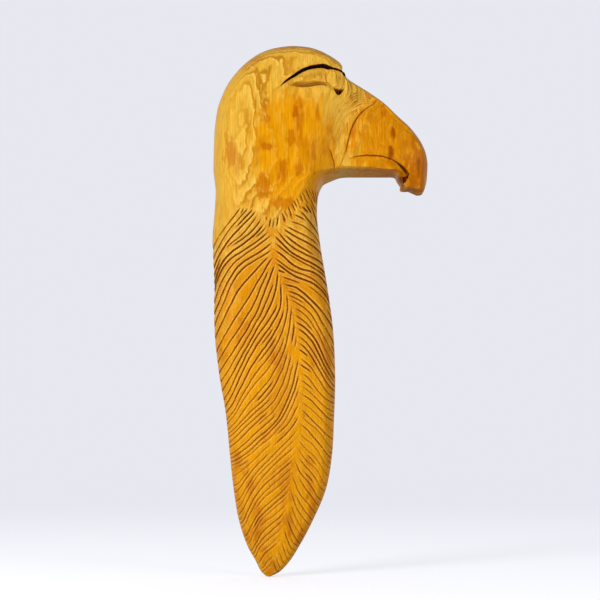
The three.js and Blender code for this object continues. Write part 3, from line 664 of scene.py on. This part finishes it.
lines = bpy.data.curves.new("pencil_lines", "CURVE")
lines.dimensions = "3D"
strokes = side_strokes(0) + side_strokes(1)
ticks = [tick for band in (TICKS_FRONT, TICKS_BACK, TICKS_MIDDLE) for tick in tick_rows(*band)]
pencil(lines, strokes, 1.0)
pencil(lines, [part for tick in ticks for part in clear_of(tick, strokes, *TICK_GAPS)], TICK["bite"])
pencil_lines = bpy.data.objects.new("pencil_lines", lines)
bpy.context.scene.collection.objects.link(pencil_lines)


def put(tree, kind, settings=None, **inputs):
    """A node with its settings. Its inputs are given by name, or by number as _0. A value is set, and a
    socket is linked."""
    node = tree.nodes.new(kind)
    for name, value in (settings or {}).items():
        setattr(node, name, value)
    for name, value in inputs.items():
        numbered = name[0] == "_" and name[1:].isdigit()
        socket = node.inputs[int(name[1:]) if numbered else name.replace("_", " ")]
        if isinstance(value, bpy.types.NodeSocket):
            tree.links.new(value, socket)
        else:
            socket.default_value = value
    return node


def calc(tree, operation, a, b=0.0, c=0.0):
    """The result of one sum, of numbers or sockets."""
    return put(tree, "ShaderNodeMath", {"operation": operation}, _0=a, _1=b, _2=c).outputs[0]


def vector_calc(tree, operation, a, b=(0, 0, 0), scale=1.0):
    """The result of one sum of places. A length comes out as a number."""
    node = put(tree, "ShaderNodeVectorMath", {"operation": operation}, _0=a, _1=b, _3=scale)
    return node.outputs["Value" if operation == "LENGTH" else "Vector"]


def between(tree, value, low, high, to_low=0.0, to_high=1.0):
    """A smooth step from one number to another."""
    node = put(tree, "ShaderNodeMapRange", {"interpolation_type": "SMOOTHSTEP"}, Value=value, From_Min=low,
               From_Max=high, To_Min=to_low, To_Max=to_high)
    return node.outputs["Result"]


def marked(tree, name):
    """A number that the mesh has at each point, by its name."""
    return put(tree, "GeometryNodeInputNamedAttribute", {"data_type": "FLOAT"}, Name=name).outputs[0]


def marking(tree, geometry, name, value):
    """The geometry with a number kept at each point."""
    settings = {"data_type": "FLOAT", "domain": "POINT"}
    node = put(tree, "GeometryNodeStoreNamedAttribute", settings, Geometry=geometry, Name=name, Value=value)
    return node.outputs[0]


# Metres, but for the shares, the bite and the nick, and the waves in a metre
FEATHER_INPUTS = {
    "Step": 0.002,
    "Taper": 0.014,
    "Taper share": 0.3,
    "End bite": 0.25,
    "Cut width": 0.004,
    "Cut depth": 0.0024,
    "Edge nick": 0.9,
    "Ridge reach": 0.005,
    "Ridge fall": 0.0013,
    "Collar step": COLLAR_STEP * MM,
    "Wander": 0.0016,
    "Wander waves": 42.0,
    "Hand marks": 0.0007,
    "Hand waves": 38.0,
}
CUT_WIDTH = {"least": 0.3, "by_bite": 0.2}  # shares of the cut width, more for a harder bite
RIM = ((0.75, 1.2), (1.25, 1.9))  # where the painted highlight on the rim beside a cut begins and ends, in widths of the cut
CUTS_START = (0.3, 0.95)  # the cuts begin on the sides, between these shares of their height
HAND_MARKS = {"upward": 0.5, "detail": 1.5, "most": 3.0}  # shallow dents of the hand tools, on the face alone


def feather_cuts_tree():
    """Cuts V-grooves into a carving along the lines of a curve object, laid flat on the plan."""
    tree = bpy.data.node_groups.new("feather_cuts", "GeometryNodeTree")
    tree.interface.new_socket("Geometry", in_out="INPUT", socket_type="NodeSocketGeometry")
    tree.interface.new_socket("Lines", in_out="INPUT", socket_type="NodeSocketObject")
    for name, value in FEATHER_INPUTS.items():
        tree.interface.new_socket(name, in_out="INPUT", socket_type="NodeSocketFloat").default_value = value
    tree.interface.new_socket("Seed", in_out="INPUT", socket_type="NodeSocketFloat").default_value = 4.0
    tree.interface.new_socket("Varnish", in_out="INPUT", socket_type="NodeSocketMaterial")
    tree.interface.new_socket("Geometry", in_out="OUTPUT", socket_type="NodeSocketGeometry")
    given = tree.nodes.new("NodeGroupInput").outputs

    lines = put(tree, "GeometryNodeObjectInfo", {"transform_space": "RELATIVE"}, Object=given["Lines"])
    spaced = put(tree, "GeometryNodeResampleCurve", {"mode": "LENGTH"}, Curve=lines.outputs["Geometry"],
                 Length=given["Step"]).outputs[0]
    here = tree.nodes.new("GeometryNodeSplineParameter").outputs["Length"]
    whole = tree.nodes.new("GeometryNodeSplineLength").outputs["Length"]
    to_end = calc(tree, "MINIMUM", here, calc(tree, "SUBTRACT", whole, here))
    reach = calc(tree, "MINIMUM", given["Taper"], calc(tree, "MULTIPLY", whole, given["Taper share"]))
    taper = between(tree, to_end, 0.0, reach, given["End bite"])
    hardness = tree.nodes.new("GeometryNodeInputRadius").outputs[0]
    bitten = marking(tree, spaced, "bite", calc(tree, "MULTIPLY", taper, hardness))
    wires = put(tree, "GeometryNodeCurveToMesh", Curve=bitten).outputs[0]

    place = tree.nodes.new("GeometryNodeInputPosition").outputs[0]
    apart = put(tree, "ShaderNodeSeparateXYZ", Vector=place).outputs
    flat = put(tree, "ShaderNodeCombineXYZ", X=apart["X"], Z=apart["Z"]).outputs[0]
    wavy = put(tree, "ShaderNodeTexNoise", {"noise_dimensions": "4D"}, Vector=flat, W=given["Seed"],
               Scale=given["Wander waves"], Detail=1.0)
    offset = vector_calc(tree, "SUBTRACT", wavy.outputs["Color"], (0.5, 0.5, 0.5))
    offset = vector_calc(tree, "SCALE", offset, scale=calc(tree, "MULTIPLY", given["Wander"], 2.0))
    level = vector_calc(tree, "MULTIPLY", offset, (1, 0, 1))
    sample = vector_calc(tree, "ADD", flat, level)
    near = put(tree, "GeometryNodeProximity", {"target_element": "EDGES"}, _0=wires, Sample_Position=sample)
    away = near.outputs["Distance"]
    closest = put(tree, "GeometryNodeSampleNearest", {"domain": "POINT"}, Geometry=wires,
                  Sample_Position=sample).outputs[0]
    picked = put(tree, "GeometryNodeSampleIndex", {"data_type": "FLOAT", "domain": "POINT"}, Geometry=wires,
                 Value=marked(tree, "bite"), Index=closest).outputs[0]

    feathered, on_face = marked(tree, "feathered"), marked(tree, "on_face")
    bite = calc(tree, "MULTIPLY", picked, feathered)
    width = calc(tree, "MULTIPLY_ADD", bite, CUT_WIDTH["by_bite"], CUT_WIDTH["least"])
    width = calc(tree, "MULTIPLY", given["Cut width"], width)
    groove = calc(tree, "MULTIPLY", between(tree, away, 0.0, width, 1.0, 0.0), bite)
    widths_off = calc(tree, "DIVIDE", away, width)
    rim_begins = between(tree, widths_off, *RIM[0])
    rim_ends = between(tree, widths_off, *RIM[1], 1.0, 0.0)
    # a pale band on the ridge beside each cut: a painted highlight
    rim = calc(tree, "MULTIPLY", calc(tree, "MULTIPLY", rim_begins, rim_ends), bite)
    ridge = put(tree, "ShaderNodeMapRange", Value=away, From_Max=given["Ridge reach"], To_Min=1.0, To_Max=0.0)
    ridge = calc(tree, "POWER", ridge.outputs["Result"], 2.0)
    nick = calc(tree, "MULTIPLY_ADD", marked(tree, "near_edge"), given["Edge nick"], 1.0)
    drop = calc(tree, "MULTIPLY", calc(tree, "MULTIPLY", groove, nick), given["Cut depth"])
    drop = calc(tree, "MULTIPLY_ADD", calc(tree, "MULTIPLY", ridge, bite), given["Ridge fall"], drop)
    drop = calc(tree, "MULTIPLY_ADD", feathered, given["Collar step"], drop)
    fade = between(tree, on_face, *CUTS_START)
    drop = calc(tree, "MULTIPLY", drop, fade)

    long_way = vector_calc(tree, "MULTIPLY", place, (1, 1, HAND_MARKS["upward"]))
    hand = put(tree, "ShaderNodeTexNoise", {"noise_dimensions": "4D"}, Vector=long_way, W=given["Seed"],
               Scale=given["Hand waves"], Detail=HAND_MARKS["detail"])
    hand = calc(tree, "MULTIPLY", calc(tree, "SUBTRACT", hand.outputs["Fac"], 0.5), given["Hand marks"])
    hand = calc(tree, "MULTIPLY", hand, calc(tree, "MULTIPLY", on_face, HAND_MARKS["most"]))
    drop = calc(tree, "ADD", drop, hand)
    normal = tree.nodes.new("GeometryNodeInputNormal").outputs[0]
    push = vector_calc(tree, "SCALE", normal, scale=calc(tree, "MULTIPLY", drop, -1.0))
    cut = put(tree, "GeometryNodeSetPosition", Geometry=given["Geometry"], Offset=push).outputs[0]
    # stain held in the cuts together with painted shade
    darkening = calc(tree, "MAXIMUM", marked(tree, "stained"), calc(tree, "MULTIPLY", groove, fade))
    darkened_and_highlit = marking(tree, marking(tree, cut, "cut", darkening), "rim", rim)
    real = put(tree, "GeometryNodeRealizeInstances", Geometry=darkened_and_highlit)
    varnished = put(tree, "GeometryNodeSetMaterial", Geometry=real.outputs[0], Material=given["Varnish"])
    tree.links.new(varnished.outputs[0], tree.nodes.new("NodeGroupOutput").inputs[0])
    return tree


# The varnish. The bare wood was stained and varnished to a honey colour, which took unevenly: pale where the
# year rings show, honey on the cheek and the beak, and brown in the cuts, where painted shade deepens the
# stain, to nearly black in the deepest. Painted shade also darkens the hollows under the bill, and a painted
# highlight lightens the rim beside each cut. The gloss is soft, and the grain is just felt.
PALE = (0.71, 0.385, 0.036, 1)
CREAM = (0.84, 0.52, 0.10, 1)
HONEY = (0.72, 0.29, 0.001, 1)
AMBER = (0.47, 0.115, 0.0005, 1)
RING_BROWN = (0.43, 0.155, 0.002, 1)
# Brown: the stain in the cuts and streaks, and painted shade in the cuts and hollows
STAIN_AND_SHADE = (0.18, 0.036, 0.0005, 1)
# Nearly black: painted shade in the deepest cuts, the brow's slit, the notch under the knob and the mouth
# crease
SHADE_BLACK = (0.02, 0.004, 0.001, 1)
# Noise in the wood: how often it changes in a metre along x, y and z, its detail and its seed
RAGGED = ((110, 110, 48), 4.0, 5.0)
CLEARNESS = ((12, 12, 5), 1.0, 3.0)
BLOTCHES = ((38, 38, 17), 3.0, 4.0)
FIBRES = ((420, 420, 24), 2.0, 6.0)
PORES = ((520, 520, 90), 1.0, 7.0)
RAGGEDNESS = {"soft": 1.2, "wild": 3.4}
# Over what noise a mark starts and is full, and how strong it is then
CLEAR_SHOWS = {"over": (0.3, 0.7), "least": 0.25, "most": 0.85}
BLOTCH_SHOWS = {"over": (0.5, 0.7), "most": 0.8, "on_pale": 0.3}
PORE_SHOWS = {"over": (0.66, 0.76), "most": 0.4}
# The year rings, in metres: where their middle is, behind the plank, and how far apart they are
RINGS = {"middle": (0.05, 0.45, 0), "upward": 0.03, "spacing": 0.004}
# What bends them: noise as above, and by how much
RING_BENDS = [
    (((9, 9, 3.4), 1.5, 1.0), 0.018),
    (((34, 34, 15), 2.0, 2.0), 0.009),
    (((95, 95, 50), 1.0, 9.0), 0.0042),
    (((300, 300, 170), 1.0, 11.0), 0.0012),
]
LATE_WOOD = ((0.5, 0.8), (0.88, 1.0))  # when in the year the brown line begins and ends
EARLY_WOOD = {"fades": (0.05, 0.4), "most": 0.8}  # the pale wood after it
PLAIN_EDGE = (-0.092, -0.058)  # the rings hardly show left of the first x, and fully right of the second
PLAIN_CHEEK = (98, 0, 34, 64)  # nor in front of the cheek: x, z, half width, half height
RINGS_LEFT = {"feathers": 0.3, "honey": 0.3, "plain": 0.35}  # how clear the rings still are there
# Where the stain took well, on the cheek, the beak and the neck: x, z, half width, half height and strength
HONEYED = [(24, -50, 72, 108, 1.0), (205, -20, 92, 88, 1.0), (0, -480, 130, 300, 1.0)]
# Darker places in the wood, as above
PATCHES = [
    (28, 20, 7, 12, 0.95), (20, -26, 10, 18, 0.7), (-20, -42, 15, 8, 0.8), (5, -82, 9, 21, 0.75),
    (33, -79, 8, 20, 0.7), (-24, -106, 16, 26, 0.65), (64, 18, 4, 20, 0.55), (57, -44, 5, 30, 0.6),
    (-84, -50, 13, 28, 0.6), (-24, 7, 8, 9, 0.6),
    (193, -10, 4, 16, 1.0), (190, -47, 5, 13, 1.0), (238, -66, 4, 24, 1.0), (159, 13, 14, 16, 0.45),
    (214, -32, 14, 20, 0.55), (233, -88, 24, 26, 0.75), (170, 32, 18, 12, 0.4), (222, 2, 10, 16, 0.4),
    (25, 142, 46, 9, 0.5), (80, 128, 30, 8, 0.45), (-56, 116, 30, 14, 0.4), (6, -137, 24, 12, 0.6),
    (205, -25, 90, 80, 0.4), (240, -66, 34, 62, 0.85), (-40, -270, 110, 140, 0.3), (40, -250, 60, 90, 0.25),
    (-2, -470, 26, 60, 0.35), (10, -600, 18, 44, 0.5), (52, -630, 8, 50, 0.6), (36, -690, 9, 26, 0.6),
    (-14, -736, 16, 14, 0.5),
]
# Brown streaks on the beak, as above
STREAKS = [(193, -9, 5, 20, 0.5), (190, -47, 7, 15, 0.65), (239, -64, 5, 22, 0.6), (228, -92, 8, 9, 0.35)]
# Painted shade in the hollows under the bill and inside the hook. Their depth and half depth come before
# the strength.
SHADED_HOLLOWS = [(206, -84, 13, 13, 34, 30, 0.95), (160, -73, 58, 5, 47, 13, 0.5)]
# How far out from the middle of such a place its colour starts to fade and is gone
SOFTNESS = {"honey": (0.75, 1.2), "patch": (0.45, 1.2), "streak": (-0.2, 1.4), "hollow": (0.4, 1.2),
            "plain": (0.7, 1.3)}
GLOSS = {"rough": 0.31, "rougher_fibres": 0.14, "rougher_cuts": 0.2, "specular": 0.10,
         "tint": (1, 0.74, 0.36, 1)}
GRAIN = {"darkest": 0.84, "lightest": 1.12, "pore_depth": -0.6, "distance": 0.0004, "strength": 0.35}
# At what darkening a cut starts to turn brown and is brown, the same for nearly black, and the rim beside it.
# The darkening is stain held in the cut and painted shade, and the pale rim is a painted highlight.
CUT_TURNS = {"brown": (0.1, 0.85), "most_brown": 0.95, "black": (1.1, 1.6), "pale_rim": 0.6}


def stretched_noise(tree, place, scale, detail, seed):
    """Noise with its own scale along x, y and z."""
    scaled = vector_calc(tree, "MULTIPLY", place, scale)
    return put(tree, "ShaderNodeTexNoise", {"noise_dimensions": "4D"}, Vector=scaled, W=seed, Scale=1.0,
               Detail=detail, Roughness=0.55).outputs["Fac"]


def blend(tree, share, under, over):
    """One colour over another, by a share."""
    node = tree.nodes.new("ShaderNodeMix")
    node.data_type = "RGBA"
    for index, value in ((0, share), (6, under), (7, over)):
        if isinstance(value, bpy.types.NodeSocket):
            tree.links.new(value, node.inputs[index])
        else:
            node.inputs[index].default_value = value
    return node.outputs[2]


def spot(tree, place, ragged, x, z, wide, tall, depth=0, deep=None):
    """0 at the middle of a soft-edged ellipse on the plank, 1 on its outline, with the raggedness given. It
    reaches through the whole plank, or so far from a depth."""
    centre = ((x - HANG_X) * MM, -depth * MM, z * MM)
    size = (1 / (wide * MM), 1 / (deep * MM) if deep else 0, 1 / (tall * MM))
    off = vector_calc(tree, "MULTIPLY", vector_calc(tree, "SUBTRACT", place, centre), size)
    return calc(tree, "ADD", vector_calc(tree, "LENGTH", off), ragged)


def spots(tree, place, ragged, ellipses, softness, under=0.0):
    """The strongest of some spots, or what is under them."""
    for *ellipse, strength in ellipses:
        away = spot(tree, place, ragged, *ellipse)
        under = calc(tree, "MAXIMUM", under, between(tree, away, *softness, strength, 0.0))
    return under


def ring_phase(tree, place):
    """How far through a year's growth the wood is, 0 to 1, from its distance to the rings' middle."""
    from_middle = vector_calc(tree, "SUBTRACT", place, RINGS["middle"])
    radius = vector_calc(tree, "LENGTH", vector_calc(tree, "MULTIPLY", from_middle, (1, 1, RINGS["upward"])))
    for noise, by in RING_BENDS:
        bend = calc(tree, "SUBTRACT", stretched_noise(tree, place, *noise), 0.5)
        radius = calc(tree, "MULTIPLY_ADD", bend, by, radius)
    return calc(tree, "FRACT", calc(tree, "DIVIDE", radius, RINGS["spacing"]))


def ring_clearness(tree, place, feathered, honeyed, ragged):
    """How clearly the year rings show: less on feathers and honey, at the back edge and before the cheek."""
    sideways = put(tree, "ShaderNodeSeparateXYZ", Vector=place).outputs["X"]
    before_cheek = spot(tree, place, ragged, *PLAIN_CHEEK)
    noise = stretched_noise(tree, place, *CLEARNESS)
    clear = between(tree, noise, *CLEAR_SHOWS["over"], CLEAR_SHOWS["least"], CLEAR_SHOWS["most"])
    for share in (
        between(tree, feathered, 0.0, 1.0, 1.0, RINGS_LEFT["feathers"]),
        between(tree, sideways, *PLAIN_EDGE, RINGS_LEFT["plain"], 1.0),
        between(tree, honeyed, 0.0, 1.0, 1.0, RINGS_LEFT["honey"]),
        between(tree, before_cheek, *SOFTNESS["plain"], RINGS_LEFT["plain"], 1.0),
    ):
        clear = calc(tree, "MULTIPLY", clear, share)
    return clear


def honey_varnish():
    """The varnished wood: patches of honey, year rings, darker places, fine grain, brown and painted shade in
    the cuts, painted shade in the hollows, and painted highlights beside the cuts.
    """
    material = bpy.data.materials.new("honey_varnish")
    material.use_nodes = True
    tree = material.node_tree
    surface = tree.nodes["Principled BSDF"]
    place = tree.nodes.new("ShaderNodeTexCoord").outputs["Object"]
    feathered, cut, rim = (put(tree, "ShaderNodeAttribute", {"attribute_name": name}).outputs["Fac"]
                           for name in ("feathered", "cut", "rim"))

    ragged = calc(tree, "SUBTRACT", stretched_noise(tree, place, *RAGGED), 0.5)
    softly = calc(tree, "MULTIPLY", ragged, RAGGEDNESS["soft"])
    wildly = calc(tree, "MULTIPLY", ragged, RAGGEDNESS["wild"])
    honeyed = spots(tree, place, softly, HONEYED, SOFTNESS["honey"])
    colour = blend(tree, honeyed, PALE, HONEY)

    phase = ring_phase(tree, place)
    clear = ring_clearness(tree, place, feathered, honeyed, softly)
    begun, ended = between(tree, phase, *LATE_WOOD[0]), between(tree, phase, *LATE_WOOD[1], 1.0, 0.0)
    late = calc(tree, "MULTIPLY", begun, ended)
    colour = blend(tree, calc(tree, "MULTIPLY", late, clear), colour, RING_BROWN)
    early = between(tree, phase, *EARLY_WOOD["fades"], EARLY_WOOD["most"], 0.0)
    colour = blend(tree, calc(tree, "MULTIPLY", early, clear), colour, CREAM)

    noise = stretched_noise(tree, place, *BLOTCHES)
    blotch = between(tree, noise, *BLOTCH_SHOWS["over"], 0.0, BLOTCH_SHOWS["most"])
    blotch = calc(tree, "MULTIPLY", blotch, between(tree, honeyed, 0.0, 1.0, BLOTCH_SHOWS["on_pale"], 1.0))
    colour = blend(tree, spots(tree, place, wildly, PATCHES, SOFTNESS["patch"], blotch), colour, AMBER)
    brown = spots(tree, place, wildly, STREAKS, SOFTNESS["streak"])
    # painted shade in the hollows under the bill and inside the hook, over the brown streaks
    brown = spots(tree, place, softly, SHADED_HOLLOWS, SOFTNESS["hollow"], brown)
    colour = blend(tree, brown, colour, STAIN_AND_SHADE)

    fibre = stretched_noise(tree, place, *FIBRES)
    noise = stretched_noise(tree, place, *PORES)
    pore = between(tree, noise, *PORE_SHOWS["over"], 0.0, PORE_SHOWS["most"])
    tone = between(tree, fibre, 0.25, 0.75, GRAIN["darkest"], GRAIN["lightest"])
    colour = blend(tree, pore, vector_calc(tree, "SCALE", colour, scale=tone), RING_BROWN)
    # the painted highlight on the rim beside each cut
    colour = blend(tree, calc(tree, "MULTIPLY", rim, CUT_TURNS["pale_rim"]), colour, CREAM)
    # the cuts turn brown with stain and painted shade
    brown = between(tree, cut, *CUT_TURNS["brown"], 0.0, CUT_TURNS["most_brown"])
    colour = blend(tree, brown, colour, STAIN_AND_SHADE)
    # nearly black where a cut is darkest: painted shade
    colour = blend(tree, between(tree, cut, *CUT_TURNS["black"]), colour, SHADE_BLACK)
    tree.links.new(colour, surface.inputs["Base Color"])

    rough = calc(tree, "MULTIPLY_ADD", fibre, GLOSS["rougher_fibres"], GLOSS["rough"])
    rough = calc(tree, "MULTIPLY_ADD", calc(tree, "MINIMUM", cut, 1.0), GLOSS["rougher_cuts"], rough)
    tree.links.new(rough, surface.inputs["Roughness"])
    surface.inputs["Specular IOR Level"].default_value = GLOSS["specular"]
    surface.inputs["Specular Tint"].default_value = GLOSS["tint"]
    relief = calc(tree, "MULTIPLY_ADD", pore, GRAIN["pore_depth"], fibre)
    bump = put(tree, "ShaderNodeBump", Height=relief, Distance=GRAIN["distance"], Strength=GRAIN["strength"])
    tree.links.new(bump.outputs[0], surface.inputs["Normal"])
    return material


# The finished carving. It is one solid piece of wood, so the feathers are cut into the blank itself. The mesh
# is thinned where it is plain, and kept whole along the darkest cuts.
MOST_TRIANGLES = 188000
wood = honey_varnish()
cuts = blank.modifiers.new("feather cuts", "NODES")
cuts.node_group = feather_cuts_tree()
for item in cuts.node_group.interface.items_tree:
    if item.name in ("Lines", "Varnish"):
        cuts[item.identifier] = pencil_lines if item.name == "Lines" else wood
all_triangles = 2 * points.shape[0] * points.shape[1]
lighter = blank.modifiers.new("fewer triangles", "DECIMATE")
lighter.ratio = min(1, MOST_TRIANGLES / all_triangles)
lighter.use_collapse_triangulate = True
lighter.vertex_group = "dark cuts"
lighter.invert_vertex_group = True

seen = blank.evaluated_get(bpy.context.evaluated_depsgraph_get())
carved = bpy.data.objects.new("eagle_head", bpy.data.meshes.new_from_object(seen))
bpy.context.scene.collection.objects.link(carved)
bpy.data.objects.remove(blank)
bpy.data.objects.remove(pencil_lines)
carved.data.shade_smooth()
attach(carved, "root")
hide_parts("eagle_head_carving")

# The floor. A sheet of pale matt paper, laid flat under the carving, whose point just meets it. It runs on
# far behind, where it fades into the room.
FLOOR = {"drop": 0.0008, "half": 8.0}
PAPER = {"colour": (0.62, 0.63, 0.66, 1), "rough": 0.9, "glow_colour": (0.95, 0.96, 1.0, 1)}
GLOW = 0.63  # the paper is lit evenly, so it is seen a little brighter than the lights here make it
ROOM_COLOUR = (0.80, 0.81, 0.87, 1)
FAR = (1.2, 5.5)  # over this distance from the carving the paper turns into the room's own colour
floor_z = cad_box[0].z - FLOOR["drop"]
half = FLOOR["half"]
floor_mesh = bpy.data.meshes.new("studio_floor")
corners = [(-half, -half), (half, -half), (half, half), (-half, half)]
floor_mesh.from_pydata([(x, y, floor_z) for x, y in corners], [], [(0, 1, 2, 3)])
floor = bpy.data.objects.new("studio_floor", floor_mesh)
bpy.context.scene.collection.objects.link(floor)
paper = bpy.data.materials.new("pale_paper")
paper.use_nodes = True
nodes = paper.node_tree
sheet = nodes.nodes["Principled BSDF"]
sheet.inputs["Base Color"].default_value = PAPER["colour"]
sheet.inputs["Roughness"].default_value = PAPER["rough"]
sheet.inputs["Specular IOR Level"].default_value = 0.0
sheet.inputs["Emission Color"].default_value = PAPER["glow_colour"]
seen_directly = nodes.nodes.new("ShaderNodeLightPath").outputs["Is Camera Ray"]
nodes.links.new(calc(nodes, "MULTIPLY", seen_directly, GLOW), sheet.inputs["Emission Strength"])
from_carving = vector_calc(nodes, "LENGTH", nodes.nodes.new("ShaderNodeTexCoord").outputs["Object"])
far_off = calc(nodes, "MULTIPLY", between(nodes, from_carving, *FAR), seen_directly)
haze = put(nodes, "ShaderNodeEmission", Color=ROOM_COLOUR).outputs[0]
mixed = put(nodes, "ShaderNodeMixShader", _0=far_off, _1=sheet.outputs[0], _2=haze)
nodes.links.new(mixed.outputs[0], nodes.nodes["Material Output"].inputs["Surface"])
floor_mesh.materials.append(paper)

# The light and the camera. The room is pale, with a large soft light on each side in front and a little more
# of its own light from behind. The camera stands below the carving's middle and looks up at it.
# How bright the room looks, how strongly it lights, and how much more it lights from behind
ROOM = {"seen": 1.0, "light": 0.34, "behind": 0.5}
VIEW = {"target": (0.02275, -0.04, -0.2941), "elevation": -9, "distance": 1.90335, "lens": 67.2, "sensor": 36}
world = bpy.data.worlds.new("pale_room")
bpy.context.scene.world = world
world.use_nodes = True
nodes = world.node_tree
room = nodes.nodes["Background"]
room.inputs["Color"].default_value = ROOM_COLOUR
seen_directly = nodes.nodes.new("ShaderNodeLightPath").outputs["Is Camera Ray"]
toward = nodes.nodes.new("ShaderNodeTexCoord").outputs["Generated"]
backward = put(nodes, "ShaderNodeSeparateXYZ", Vector=toward).outputs["Y"]
light = between(nodes, backward, 0.0, 1.0, ROOM["light"], ROOM["light"] + ROOM["behind"])
not_seen = calc(nodes, "MULTIPLY", calc(nodes, "SUBTRACT", 1.0, seen_directly), light)
strength = calc(nodes, "MULTIPLY_ADD", seen_directly, ROOM["seen"], not_seen)
nodes.links.new(strength, room.inputs["Strength"])


def soft_light(name, place, aim, size, power):
    """A square soft light, turned to what it lights. Sizes are metres and power is watts."""
    lamp = bpy.data.lights.new(name, "AREA")
    lamp.shape, lamp.size, lamp.energy = "SQUARE", size, power
    holder = bpy.data.objects.new(name, lamp)
    holder.location = place
    holder.rotation_euler = (Vector(aim) - Vector(place)).to_track_quat("-Z", "Y").to_euler()
    bpy.context.scene.collection.objects.link(holder)


soft_light("left_softbox", place=(-1.8, -2.2, 0.0), aim=(0, 0, -0.45), size=0.9, power=62)
soft_light("right_softbox", place=(1.9, -2.0, -0.35), aim=(0, 0, -0.45), size=0.9, power=26)

angle = math.radians(VIEW["elevation"])
target = Vector(VIEW["target"])
camera = bpy.data.objects.new("camera", bpy.data.cameras.new("camera"))
camera.location = target + VIEW["distance"] * Vector((0, -math.cos(angle), math.sin(angle)))
camera.rotation_euler = (target - camera.location).to_track_quat("-Z", "Y").to_euler()
camera.data.lens, camera.data.sensor_width = VIEW["lens"], VIEW["sensor"]
bpy.context.scene.collection.objects.link(camera)
bpy.context.scene.camera = camera
bpy.context.scene.view_settings.view_transform = "Standard"
